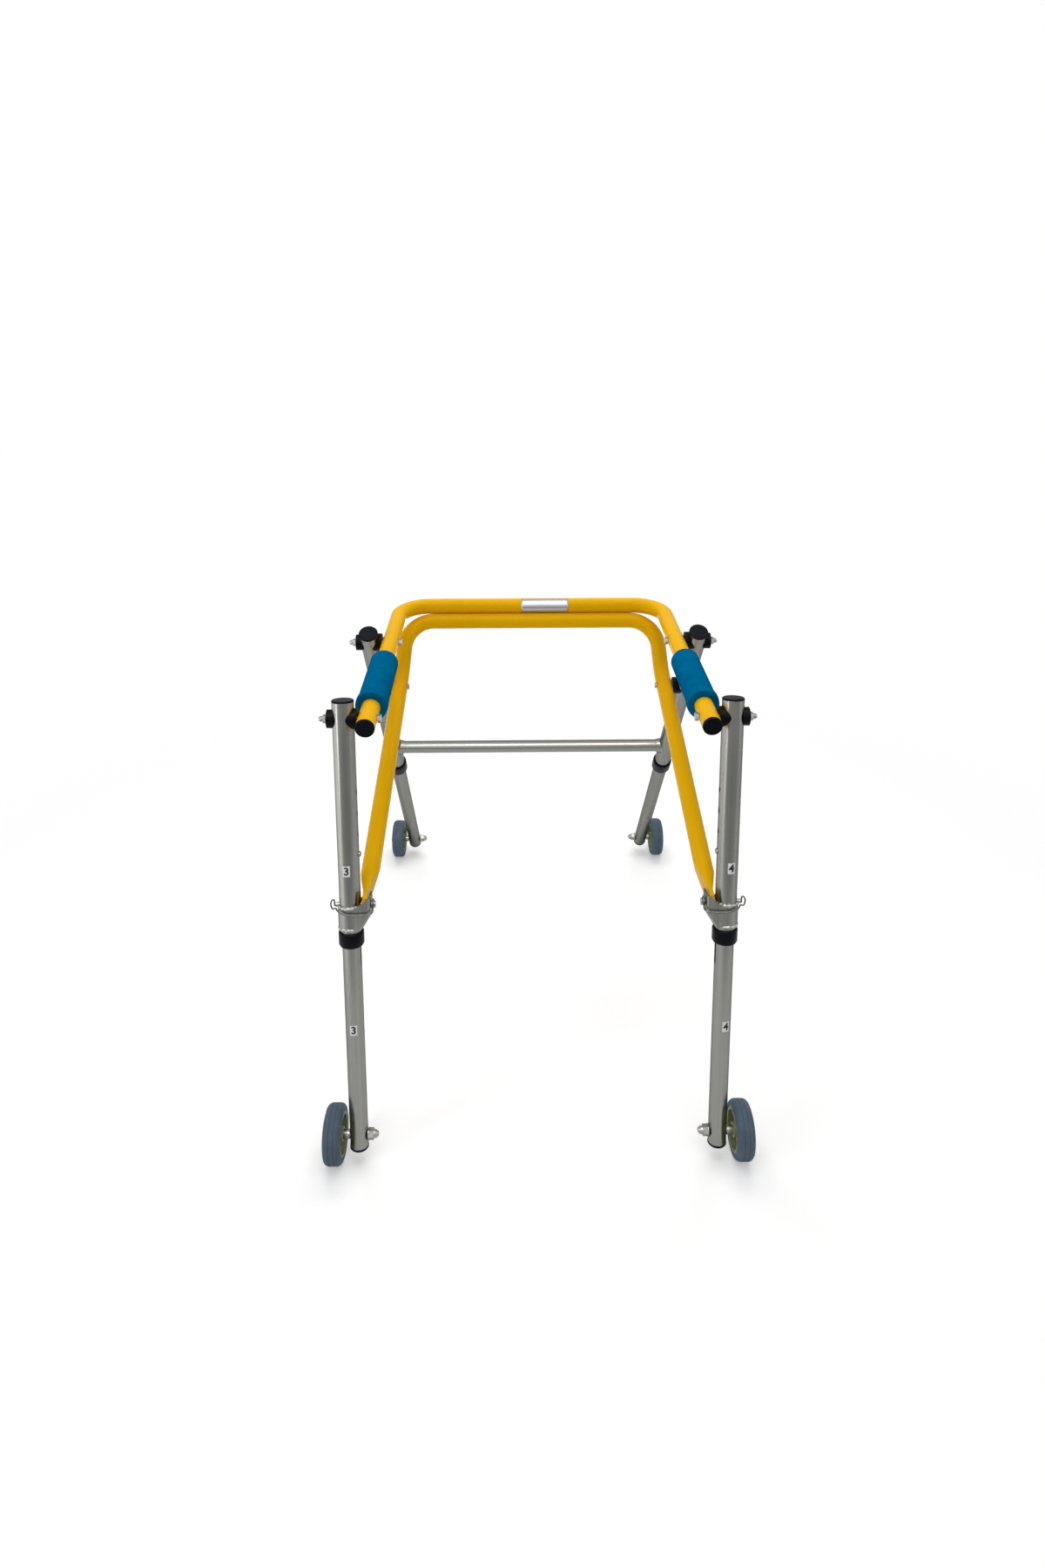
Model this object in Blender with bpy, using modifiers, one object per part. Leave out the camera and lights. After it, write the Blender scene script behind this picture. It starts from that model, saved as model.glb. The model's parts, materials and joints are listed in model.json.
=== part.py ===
"""Posterior walker for a child: four telescoping legs on wheels, hung from a U-shaped hand rail.

Metres, +Z up, floor at z = 0.  The open front that the child faces is towards -Y, the back bar is
towards +Y, and left (-X) is the left as seen from the open front.  Each leg hangs from an empty on
its pivot, whose local Z runs up the leg.
"""
import math

import bmesh
import bpy
from mathutils import Matrix, Vector

# Driving dimensions of the whole frame
WHEEL_BASE = 0.782          # front axle to rear axle, along Y
LEG_TRACK = 0.503           # between the two planes that the legs lie in
FRONT_LEAN = math.radians(10.0)    # top of a front leg leans back by this
REAR_LEAN = math.radians(35.4)     # top of a rear leg leans forward by this
FRONT_LEG = 0.6200          # axle to the top of the upper tube, without its cap
REAR_LEG = 0.7670
FRONT_PIVOT_DROP = 0.0224   # rail pivot below the top of the leg
REAR_PIVOT_DROP = 0.0206
BRACE_PIN_HEIGHT = 0.3430   # brace pin above the axle, along the front leg
BRACE_CROSS_HEIGHT = 0.6200  # where the brace crosses the rear leg, above its axle
CROSSBAR_HEIGHT = 0.4160
FRONT_COLLAR_HEIGHT = 0.2860  # lower rim of the black collar
REAR_COLLAR_HEIGHT = 0.3340
FRONT_COLLAR_LENGTH = 0.0204
REAR_COLLAR_LENGTH = 0.0270
FOOT_OVERHANG = 0.0165      # lower tube below its axle

# Tube sizes
UPPER_OD = 0.0286
UPPER_WALL = 0.0014
LOWER_OD = 0.0254
LOWER_WALL = 0.0014
RAIL_OD = 0.0254
RAIL_WALL = 0.0015
CROSSBAR_OD = 0.0222

# Hand rail
RAIL_GAP = 0.0045           # between the rail and the legs beside it
RAIL_OVERHANG = 0.0245      # open tube end in front of the front pivot, without its plug
RAIL_REACH = 0.3985         # front pivot to the back bar, along the rail
RAIL_BEND = 0.050
GRIP_OD = 0.0405
GRIP_LIP_OD = 0.0435
GRIP_LIP = 0.018
GRIP_START = 0.0300         # behind the front pivot
GRIP_LENGTH = 0.1465

# Lower U-shaped brace
BRACE_TRACK_PIN = 0.4630    # tube centres at the pin, if the tube ran on unflattened
BRACE_GAP = 0.0055          # between the brace and the rear legs that it crosses
BRACE_TRACK_BAR = 0.4200
BRACE_BEND_AFTER = 0.030    # bend starts past the crossing pivot
BRACE_KINK_RADIUS = 0.060
BAR_NEST_ANGLE = math.radians(24.0)  # brace bar sits this far in front of plumb below the rail bar
BAR_GAP = 0.0005
BLADE_THICKNESS = 0.0060
BLADE_SIDE_GAP = 0.0028      # on each side of the blade, to the leg and to the web
BLADE_TAPER = 0.045         # length of the flattened stretch
BLADE_RADIUS = 0.0115

# Telescoping and its lock
HOLE_PITCH = 0.0285
HOLE_COUNT = 4
HOLE_RADIUS = 0.0040
FRONT_BUTTON_HEIGHT = 0.4140
REAR_BUTTON_HEIGHT = 0.4500
LOWER_TUBE_LAP = 0.0160     # lower tube above its button
BUTTON_RADIUS = 0.0036
BUTTON_PROUD = 0.0030

# Wheels
WHEEL_OD = 0.0800
TYRE_WIDTH = 0.0250
TYRE_SEAT_OD = 0.0600
HUB_WEB = 0.0070
HUB_BOSS_OD = 0.0200
BOSS_INSET = 0.0010         # ends of the hub boss, inside the faces of the tyre
WHEEL_GAP = 0.0080          # side of the leg to the side of the tyre
POCKETS = 5

# Fasteners
AXLE_RADIUS = 0.0040
PIVOT_RADIUS = 0.0030
PIN_RADIUS = 0.00315
PIN_TIP = 0.0030            # brace pin beyond the leg
PIN_HEAD = 0.0052
PIN_HEAD_R = 0.0048
BAIL_WIRE = 0.0021
FOLD_PLAY = 0.0020          # play that the brace pin needs in the blade while the frame folds
HEX_AXLE = 0.0140           # across flats
HEX_PIVOT = 0.0100
WELD_LAP = 0.0080           # the crossbar ends this far from the middle of a leg
SHAFT_LAP = 0.0015          # shafts run this far into their heads and nuts
WASHER_OUT = 0.0062         # black washers stand out this far from the leg
SPACER_R = 0.0137
SADDLE_REACH = 0.0028       # wings of a spacer end this far from the middle of the leg

# Fits
FIT = 0.0003                # between pieces that touch
RUNNING = 0.00015           # between a pivot and what turns on it
SIDES = 16
BORE_SIDES = 12

LEG_X = LEG_TRACK / 2
RAIL_TRACK = LEG_TRACK - UPPER_OD - RAIL_OD - 2 * RAIL_GAP
BRACE_TRACK_CROSS = LEG_TRACK - UPPER_OD - RAIL_OD - 2 * BRACE_GAP
RAIL_X = RAIL_TRACK / 2
UPPER_R = UPPER_OD / 2
LOWER_R = LOWER_OD / 2
RAIL_R = RAIL_OD / 2
WHEEL_R = WHEEL_OD / 2
HEIGHT_RANGE = HOLE_PITCH * (HOLE_COUNT - 1)

SIDE_NAMES = {-1: "left", 1: "right"}

COLOURS = {
    "yellow_paint": ((0.87, 0.48, 0.01, 1), 0.32, 0.0),
    "aluminium": ((0.50, 0.51, 0.50, 1), 0.38, 1.0),
    "zinc_steel": ((0.66, 0.65, 0.62, 1), 0.30, 1.0),
    "black_plastic": ((0.012, 0.012, 0.016, 1), 0.42, 0.0),
    "blue_foam": ((0.0, 0.13, 0.33, 1), 0.85, 0.0),
    "grey_tyre": ((0.09, 0.12, 0.17, 1), 0.70, 0.0),
    "hub_nylon": ((0.42, 0.43, 0.34, 1), 0.55, 0.0),
}


def clear_scene():
    for obj in list(bpy.data.objects):
        bpy.data.objects.remove(obj, do_unlink=True)


def new_collection(name):
    collection = bpy.data.collections.new(name)
    bpy.context.scene.collection.children.link(collection)
    return collection


def make_materials():
    for name, (colour, roughness, metallic) in COLOURS.items():
        material = bpy.data.materials.new(name)
        material.use_nodes = True
        shader = material.node_tree.nodes["Principled BSDF"]
        shader.inputs["Base Color"].default_value = colour
        shader.inputs["Roughness"].default_value = roughness
        shader.inputs["Metallic"].default_value = metallic
        material.diffuse_color = colour


clear_scene()
PARTS = new_collection("posterior_walker")
CUTTERS = new_collection("cutters")
make_materials()


def frame_empty(name, location, lean):
    """An empty on a pivot; its local Z runs up a leg whose top leans towards +Y by lean."""
    empty = bpy.data.objects.new(name, None)
    empty.empty_display_size = 0.03
    empty.location = location
    empty.rotation_euler = (-lean, 0, 0)
    PARTS.objects.link(empty)
    return empty


def link(obj, material=None, parent=None, location=(0, 0, 0), rotation=(0, 0, 0)):
    PARTS.objects.link(obj)
    obj.parent = parent
    obj.location = location
    obj.rotation_euler = rotation
    if material:
        obj.data.materials.append(bpy.data.materials[material])
    return obj


def helper(obj, parent=None, location=(0, 0, 0), rotation=(0, 0, 0)):
    """A cutter or a shape to be fused; it is not a piece of the walker."""
    CUTTERS.objects.link(obj)
    obj.parent = parent
    obj.location = location
    obj.rotation_euler = rotation
    obj.hide_render = True
    obj.display_type = "WIRE"
    return obj


def boolean(obj, other, operation):
    modifier = obj.modifiers.new(operation.lower(), "BOOLEAN")
    modifier.operation = operation
    modifier.solver = "EXACT"
    modifier.object = other


def cut(obj, other):
    boolean(obj, other, "DIFFERENCE")


def fuse(obj, other):
    boolean(obj, other, "UNION")


def mesh_object(name, bm):
    mesh = bpy.data.meshes.new(name)
    bm.to_mesh(mesh)
    bm.free()
    mesh.shade_smooth()
    mesh.set_sharp_from_angle(angle=math.radians(35))
    return bpy.data.objects.new(name, mesh)


def cylinder(name, radius, length, sides=SIDES, radius_top=None, across=False, clocked=0.0):
    """A cylinder centred on its origin, along local Z, or along local X if across."""
    bm = bmesh.new()
    top = radius if radius_top is None else radius_top
    bmesh.ops.create_cone(bm, cap_ends=True, segments=sides, radius1=radius, radius2=top, depth=length)
    bmesh.ops.rotate(bm, verts=bm.verts, matrix=Matrix.Rotation(clocked, 3, "Z"))
    if across:
        bmesh.ops.rotate(bm, verts=bm.verts, matrix=Matrix.Rotation(math.pi / 2, 3, "Y"))
    return mesh_object(name, bm)


def box(name, size, centre=(0, 0, 0)):
    bm = bmesh.new()
    bmesh.ops.create_cube(bm, size=1.0)
    bmesh.ops.scale(bm, verts=bm.verts, vec=size)
    bmesh.ops.translate(bm, verts=bm.verts, vec=centre)
    return mesh_object(name, bm)


def turned(name, profile, sides=SIDES, hollow=False):
    """A turned piece from (radius, height) points, run down the outer side from the top.

    A solid profile starts and ends on the axis; a hollow one closes on itself.
    """
    mesh = bpy.data.meshes.new(name)
    edges = [(i, i + 1) for i in range(len(profile) - 1)]
    if hollow:
        edges.append((len(profile) - 1, 0))
    mesh.from_pydata([(r, 0, z) for r, z in profile], edges, [])
    obj = bpy.data.objects.new(name, mesh)
    screw = obj.modifiers.new("turn", "SCREW")
    screw.steps = sides
    screw.render_steps = sides
    screw.use_merge_vertices = True
    screw.merge_threshold = 0.00001
    screw.use_smooth_shade = True
    return obj


def tube_profile(outer, wall, bottom, top):
    return [(outer, top), (outer, bottom), (outer - wall, bottom), (outer - wall, top)]


def curve_mesh(name, curve):
    """The closed mesh of a curve object, with its caps welded on."""
    temporary = bpy.data.objects.new(name + "_curve", curve)
    CUTTERS.objects.link(temporary)
    bpy.context.view_layer.update()
    evaluated = temporary.evaluated_get(bpy.context.evaluated_depsgraph_get())
    mesh = bpy.data.meshes.new_from_object(evaluated)
    bpy.data.objects.remove(temporary, do_unlink=True)
    bm = bmesh.new()
    bm.from_mesh(mesh)
    bmesh.ops.remove_doubles(bm, verts=bm.verts, dist=0.000001)
    bmesh.ops.recalc_face_normals(bm, faces=bm.faces)
    bm.to_mesh(mesh)
    bm.free()
    mesh.name = name
    mesh.shade_smooth()
    mesh.set_sharp_from_angle(angle=math.radians(35))
    return bpy.data.objects.new(name, mesh)


def bent_rod(name, points, radius, resolution, cyclic=False):
    curve = bpy.data.curves.new(name, "CURVE")
    curve.dimensions = "3D"
    curve.bevel_depth = radius
    curve.bevel_resolution = resolution
    curve.use_fill_caps = not cyclic
    spline = curve.splines.new("POLY")
    spline.points.add(len(points) - 1)
    for point, place in zip(spline.points, points):
        point.co = (*place, 1)
    spline.use_cyclic_u = cyclic
    return curve_mesh(name, curve)


def extruded(name, outline, thickness):
    """A flat outline in local XY, with its thickness shared above and below."""
    curve = bpy.data.curves.new(name, "CURVE")
    curve.dimensions = "2D"
    curve.fill_mode = "BOTH"
    curve.extrude = thickness / 2
    spline = curve.splines.new("POLY")
    spline.points.add(len(outline) - 1)
    for point, (x, y) in zip(spline.points, outline):
        point.co = (x, y, 0, 1)
    spline.use_cyclic_u = True
    return curve_mesh(name, curve)


def rounded_route(corners, radii, step=math.radians(15)):
    """The corners joined by straight runs, each inner corner rounded by an arc of its radius."""
    points = [Vector(corners[0])]
    for before, corner, after, radius in zip(corners, corners[1:], corners[2:], radii):
        corner = Vector(corner)
        into = (corner - Vector(before)).normalized()
        out = (Vector(after) - corner).normalized()
        turn = into.angle(out)
        reach = radius * math.tan(turn / 2)
        start = corner - into * reach
        inward = (out - into * into.dot(out)).normalized()
        centre = start + inward * radius
        count = max(3, round(turn / step))
        for i in range(count + 1):
            angle = turn * i / count
            points.append(centre - inward * radius * math.cos(angle) + into * radius * math.sin(angle))
    points.append(Vector(corners[-1]))
    return points


def smooth_route(knots, steps):
    """A smooth curve through the knots, with this many points to each knot."""
    padded = [2 * knots[0] - knots[1], *knots, 2 * knots[-1] - knots[-2]]
    points = []
    for a, b, c, d in zip(padded, padded[1:], padded[2:], padded[3:]):
        for i in range(steps):
            t = i / steps
            points.append(0.5 * (2 * b + (c - a) * t + (2 * a - 5 * b + 4 * c - d) * t * t
                                 + (3 * b - a - 3 * c + d) * t ** 3))
    points.append(knots[-1])
    return points


def tube_resolution(sides):
    """The bevel resolution that gives a round tube this many sides."""
    return (sides - 4) // 2


# Places worked out from the driving dimensions
FRONT_UP = Vector((0, math.sin(FRONT_LEAN), math.cos(FRONT_LEAN)))
REAR_UP = Vector((0, -math.sin(REAR_LEAN), math.cos(REAR_LEAN)))
FRONT_AXLE = Vector((0, -WHEEL_BASE / 2, WHEEL_R))
REAR_AXLE = Vector((0, WHEEL_BASE / 2, WHEEL_R))
FRONT_PIVOT_HEIGHT = FRONT_LEG - FRONT_PIVOT_DROP
REAR_PIVOT_HEIGHT = REAR_LEG - REAR_PIVOT_DROP
FRONT_PIVOT = FRONT_AXLE + FRONT_UP * FRONT_PIVOT_HEIGHT
REAR_PIVOT = REAR_AXLE + REAR_UP * REAR_PIVOT_HEIGHT
RAIL_DIRECTION = (REAR_PIVOT - FRONT_PIVOT).normalized()
RAIL_TILT = math.atan2(RAIL_DIRECTION.z, RAIL_DIRECTION.y)
PIVOT_SPAN = (REAR_PIVOT - FRONT_PIVOT).length
BACK_BAR = FRONT_PIVOT + RAIL_DIRECTION * RAIL_REACH
BRACE_PIN = FRONT_AXLE + FRONT_UP * BRACE_PIN_HEIGHT
BRACE_CROSS = REAR_AXLE + REAR_UP * BRACE_CROSS_HEIGHT
BRACE_DIRECTION = (BRACE_CROSS - BRACE_PIN).normalized()
NEST = Vector((0, -math.sin(BAR_NEST_ANGLE), -math.cos(BAR_NEST_ANGLE)))
BRACE_BAR = BACK_BAR + NEST * (RAIL_OD + BAR_GAP)

CROSS_RISE = BRACE_CROSS_HEIGHT - REAR_PIVOT_HEIGHT
BRACE_FLARE = (BRACE_TRACK_PIN - BRACE_TRACK_CROSS) / 2 / (BRACE_CROSS - BRACE_PIN).length
RAIL_OUTER = RAIL_X + RAIL_R
BRACE_OUTER = BRACE_TRACK_CROSS / 2 + RAIL_R + BRACE_FLARE * SPACER_R
LEG_INNER_FACE = LEG_X - UPPER_R
LEG_OUTER_FACE = LEG_X + UPPER_R
BLADE_OUTER = LEG_INNER_FACE - BLADE_SIDE_GAP
BLADE_INNER = BLADE_OUTER - BLADE_THICKNESS
WEB_THICKNESS = 0.0024
WEB_INNER = BLADE_INNER - BLADE_SIDE_GAP - WEB_THICKNESS
SLEEVE_R = UPPER_R + 0.0022

RAIL_FRAME = bpy.data.objects.new("rail_frame", None)
RAIL_FRAME.empty_display_size = 0.05
RAIL_FRAME.location = FRONT_PIVOT
RAIL_FRAME.rotation_euler = (RAIL_TILT, 0, 0)
PARTS.objects.link(RAIL_FRAME)

CROSS_EMPTY = bpy.data.objects.new("brace_pivot", None)
CROSS_EMPTY.empty_display_size = 0.05
CROSS_EMPTY.location = BRACE_CROSS
PARTS.objects.link(CROSS_EMPTY)


def hex_prism(name, across_flats, length, across=True):
    return cylinder(name, across_flats / math.sqrt(3), length, sides=6, across=across)


def make_rail():
    """The hand rail: one U-shaped tube in the rail's own plane, y = 0 at the front pivot."""
    front = -RAIL_OVERHANG
    corners = [(RAIL_X, front, 0), (RAIL_X, RAIL_REACH, 0), (-RAIL_X, RAIL_REACH, 0), (-RAIL_X, front, 0)]
    route = rounded_route(corners, (RAIL_BEND, RAIL_BEND))
    rail = bent_rod("top_rail", route, RAIL_R, tube_resolution(SIDES))
    link(rail, "yellow_paint", RAIL_FRAME)
    past = 0.004
    bore_route = [route[0] + Vector((0, -past, 0)), *route[1:-1], route[-1] + Vector((0, -past, 0))]
    bore = helper(bent_rod("rail_bore", bore_route, RAIL_R - RAIL_WALL, tube_resolution(SIDES)), RAIL_FRAME)
    cut(rail, bore)
    for side in SIDE_NAMES:
        for reach in (0, PIVOT_SPAN):
            drill = cylinder("rail_drill", PIVOT_RADIUS + RUNNING, RAIL_OD + 0.01, BORE_SIDES, across=True)
            cut(rail, helper(drill, RAIL_FRAME, (side * RAIL_X, reach, 0)))
    return rail


def make_end_plug(side):
    """The flat black plug in a rail end: a cap as wide as the tube on a short stem."""
    name = f"rail_end_plug_{SIDE_NAMES[side]}"
    cap = 0.0030
    rim = 0.0008
    stem_r = RAIL_R - RAIL_WALL - FIT
    stem = 0.012
    profile = [(0, cap), (RAIL_R - rim, cap), (RAIL_R, cap - rim), (RAIL_R, 0), (stem_r, 0),
               (stem_r, -stem), (0, -stem)]
    plug = turned(name, profile)
    place = (side * RAIL_X, -RAIL_OVERHANG - FIT, 0)
    return link(plug, "black_plastic", RAIL_FRAME, place, (math.pi / 2, 0, 0))


def make_grip(side):
    """The foam grip: a sleeve with a rounded back end and a fuller lip at its front end."""
    name = f"foam_grip_{SIDE_NAMES[side]}"
    bore = RAIL_R + FIT
    body = GRIP_OD / 2
    lip = GRIP_LIP_OD / 2
    round_end = 0.006
    outline = [(bore, GRIP_LENGTH), (body - round_end, GRIP_LENGTH)]
    for i in range(1, 3):
        angle = math.pi / 2 * i / 2
        outline.append((body - round_end + round_end * math.sin(angle),
                        GRIP_LENGTH - round_end + round_end * math.cos(angle)))
    outline += [(body, GRIP_LIP * 1.9)]
    for i in range(6):
        angle = math.pi * i / 5
        swell = (lip - body) * math.sin(angle)
        height = GRIP_LIP * (1 + math.cos(angle)) / 2
        outline.append((body + swell - (0.004 if i == 5 else 0), height))
    outline += [(bore, 0)]
    grip = turned(name, outline, hollow=True)
    place = (side * RAIL_X, GRIP_START, 0)
    return link(grip, "blue_foam", RAIL_FRAME, place, (-math.pi / 2, 0, 0))


def make_pivot_bolt(name, side, reach):
    """A bolt through the rail and the leg: hex head inboard, hex nut and dome outboard."""
    head = 0.0045
    inner = RAIL_X - RAIL_R - FIT
    outer = LEG_OUTER_FACE + WASHER_OUT + FIT
    nut = 0.0050
    dome_r = 0.0040
    bolt = cylinder(name, PIVOT_RADIUS, outer - inner + 2 * SHAFT_LAP, BORE_SIDES, across=True)
    link(bolt, "zinc_steel", RAIL_FRAME, (side * (inner + outer) / 2, reach, 0))
    inboard = hex_prism(name + "_head", HEX_PIVOT, head)
    fuse(bolt, helper(inboard, RAIL_FRAME, (side * (inner - head / 2), reach, 0)))
    flats = hex_prism(name + "_nut", HEX_PIVOT, nut)
    fuse(bolt, helper(flats, RAIL_FRAME, (side * (outer + nut / 2), reach, 0)))
    dome = turned(name + "_dome", [(0, 0.0065), (dome_r * 0.6, 0.0058), (dome_r * 0.95, 0.0035),
                                   (dome_r, 0), (0, 0)], BORE_SIDES)
    base = side * (outer + nut - 0.0005)
    fuse(bolt, helper(dome, RAIL_FRAME, (base, reach, 0), (0, side * math.pi / 2, 0)))
    return bolt


def make_leg_spacer(name, x, side, parent, height, inner):
    """A black spacer on the inboard side of a leg: hollowed round the leg, flat to what turns on it."""
    outer = LEG_X - SADDLE_REACH
    disc = cylinder(name, SPACER_R, outer - inner, across=True)
    link(disc, "black_plastic", parent, (x + side * ((outer + inner) / 2 - LEG_X), 0, height))
    saddle = cylinder(name + "_saddle", UPPER_R + FIT, 0.08)
    cut(disc, helper(saddle, parent, (x, 0, height)))
    bore = cylinder(name + "_bore", PIVOT_RADIUS + RUNNING, 0.05, BORE_SIDES, across=True)
    cut(disc, helper(bore, parent, (x + side * (inner - LEG_X), 0, height)))
    return disc


def make_leg_washer(name, x, side, parent):
    """The black washer under an outboard nut, hollowed round the leg that it turns with."""
    radius = 0.0122
    outer = UPPER_R + WASHER_OUT
    inner = UPPER_R - 0.0036
    disc = cylinder(name, radius, outer - inner, across=True)
    link(disc, "black_plastic", parent, (x + side * (outer + inner) / 2, 0, 0))
    leg = cylinder(name + "_saddle", UPPER_R + FIT, 0.06)
    cut(disc, helper(leg, parent, (x, 0, 0)))
    bore = cylinder(name + "_bore", PIVOT_RADIUS + RUNNING, 0.03, BORE_SIDES, across=True)
    cut(disc, helper(bore, parent, (x + side * outer, 0, 0)))
    return disc


def drill_across(obj, parent, height, radius, length=0.05, centre=0.0, sides=16):
    drill = cylinder(obj.name + "_drill", radius, length, sides, across=True)
    cut(obj, helper(drill, parent, (centre, 0, height)))


def drill_height_holes(leg, side, parent, first):
    """The row of lock holes in the inboard wall, from the lowest up."""
    for i in range(HOLE_COUNT):
        drill_across(leg, parent, first + i * HOLE_PITCH, HOLE_RADIUS, 0.012, -side * UPPER_R)


def make_front_upper(side, parent, name):
    """The upper front leg tube with the brace bracket that is welded on above the collar."""
    low = FRONT_COLLAR_HEIGHT + 0.003 - FRONT_PIVOT_HEIGHT
    pin = BRACE_PIN_HEIGHT - FRONT_PIVOT_HEIGHT
    length = FRONT_PIVOT_DROP - low
    leg = cylinder(name, UPPER_R, length)
    leg.data.transform(Matrix.Translation((0, 0, low + length / 2)))
    link(leg, "aluminium", parent)
    sleeve_low = pin - 0.0305
    sleeve_top = pin + 0.0012
    sleeve = cylinder(name + "_sleeve", SLEEVE_R, sleeve_top - sleeve_low)
    fuse(leg, helper(sleeve, parent, (0, 0, (sleeve_low + sleeve_top) / 2)))
    web_face = LEG_X - WEB_INNER
    ear_outline = [(UPPER_R * 0.75, sleeve_low + 0.004), (SLEEVE_R, sleeve_low + 0.005),
                   (web_face, pin - 0.0110), (web_face, pin + 0.0140), (web_face - WEB_THICKNESS, pin + 0.0140),
                   (UPPER_R * 0.75, pin - 0.0010)]
    outline = [(-side * x, z) for x, z in ear_outline]
    ear = extruded(name + "_ear", outline, 2 * SLEEVE_R - 0.0006)
    fuse(leg, helper(ear, parent, rotation=(math.pi / 2, 0, 0)))
    slot_inner = web_face - WEB_THICKNESS
    slot = box(name + "_pocket", (slot_inner, 2 * UPPER_R + 0.0012, 0.060),
               (-side * slot_inner / 2, 0, pin - 0.0160 + 0.030))
    keep = cylinder(name + "_keep", UPPER_R + FIT, 0.2)
    boolean(helper(slot, parent), helper(keep, parent, (0, 0, pin)), "DIFFERENCE")
    cut(leg, slot)
    back = box(name + "_back_relief", (0.030, 0.020, 0.050),
               (-side * (UPPER_R + 0.0005 + 0.015), UPPER_R + 0.006, pin - 0.0085 + 0.025))
    relief_keep = cylinder(name + "_relief_keep", UPPER_R + 2 * FIT, 0.2)
    boolean(helper(back, parent), helper(relief_keep, parent, (0, 0, pin)), "DIFFERENCE")
    cut(leg, back)
    bore = cylinder(name + "_bore", UPPER_R - UPPER_WALL, length + 0.02)
    cut(leg, helper(bore, parent, (0, 0, low + length / 2)))
    drill_across(leg, parent, pin, PIN_RADIUS + RUNNING, 0.12)
    drill_across(leg, parent, 0, PIVOT_RADIUS + RUNNING)
    drill_height_holes(leg, side, parent, FRONT_BUTTON_HEIGHT - FRONT_PIVOT_HEIGHT)
    return leg


def make_rear_frame():
    """Both upper rear leg tubes and the crossbar between them: one welded piece."""
    rise = CROSSBAR_HEIGHT - REAR_PIVOT_HEIGHT
    low = REAR_COLLAR_HEIGHT + 0.003 - REAR_PIVOT_HEIGHT
    parent = REAR_EMPTY
    radius = CROSSBAR_OD / 2
    end = LEG_X - WELD_LAP
    flared = LEG_INNER_FACE + 0.0010
    straight = LEG_INNER_FACE - 0.0070
    profile = [(0, end), (radius + 0.0022, end), (radius + 0.0022, flared), (radius, straight),
               (radius, -straight), (radius + 0.0022, -flared), (radius + 0.0022, -end), (0, -end)]
    bar = turned("rear_frame", profile)
    link(bar, "aluminium", parent, (0, 0, rise), (0, math.pi / 2, 0))
    for side, side_name in SIDE_NAMES.items():
        name = f"rear_upper_{side_name}"
        shell = cylinder(name, UPPER_R, REAR_PIVOT_DROP - low)
        fuse(bar, helper(shell, parent, (side * LEG_X, 0, (REAR_PIVOT_DROP + low) / 2)))
    for side, side_name in SIDE_NAMES.items():
        name = f"rear_upper_{side_name}"
        bore = cylinder(name + "_bore", UPPER_R - UPPER_WALL, REAR_PIVOT_DROP - low + 0.02)
        cut(bar, helper(bore, parent, (side * LEG_X, 0, (REAR_PIVOT_DROP + low) / 2)))
        for height in (0, CROSS_RISE):
            drill = cylinder(name + "_drill", PIVOT_RADIUS + RUNNING, 0.05, BORE_SIDES, across=True)
            cut(bar, helper(drill, parent, (side * LEG_X, 0, height)))
        for i in range(1, HOLE_COUNT):
            height = REAR_BUTTON_HEIGHT + i * HOLE_PITCH - REAR_PIVOT_HEIGHT
            drill = cylinder(name + "_hole", HOLE_RADIUS, 0.012, BORE_SIDES)
            cut(bar, helper(drill, parent, (side * LEG_X, UPPER_R, height), (math.pi / 2, 0, 0)))
        stud = cylinder(name + "_stud", BUTTON_RADIUS, UPPER_WALL + BUTTON_PROUD - 0.0003, BORE_SIDES)
        stud_y = UPPER_R + (BUTTON_PROUD - UPPER_WALL + 0.0003) / 2
        height = REAR_BUTTON_HEIGHT - REAR_PIVOT_HEIGHT
        fuse(bar, helper(stud, parent, (side * LEG_X, stud_y, height), (math.pi / 2, 0, 0)))
    return bar


def make_cap(name, x, parent, height):
    """The flat black cap on the top of a leg, on a short stem."""
    stem_r = UPPER_R - UPPER_WALL - FIT
    profile = [(0, 0.0026), (UPPER_R - 0.0010, 0.0024), (UPPER_R + 0.0002, 0.0012), (UPPER_R + 0.0002, 0),
               (stem_r, 0), (stem_r, -0.008), (0, -0.008)]
    cap = turned(name, profile)
    return link(cap, "black_plastic", parent, (x, 0, height + FIT))


def make_collar(name, x, parent, low, height):
    """The black collar at the foot of an upper tube; its lip guides the lower tube."""
    outer = UPPER_R + 0.0027
    inner = UPPER_R + FIT
    guide = LOWER_R + FIT
    lip = 0.0026
    profile = [(inner, height), (outer - 0.0010, height), (outer, height - 0.0012), (outer, 0.0030),
               (outer - 0.0016, 0), (guide, 0), (guide, lip), (inner, lip)]
    collar = turned(name, profile, hollow=True)
    return link(collar, "black_plastic", parent, (x, 0, low))


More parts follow.
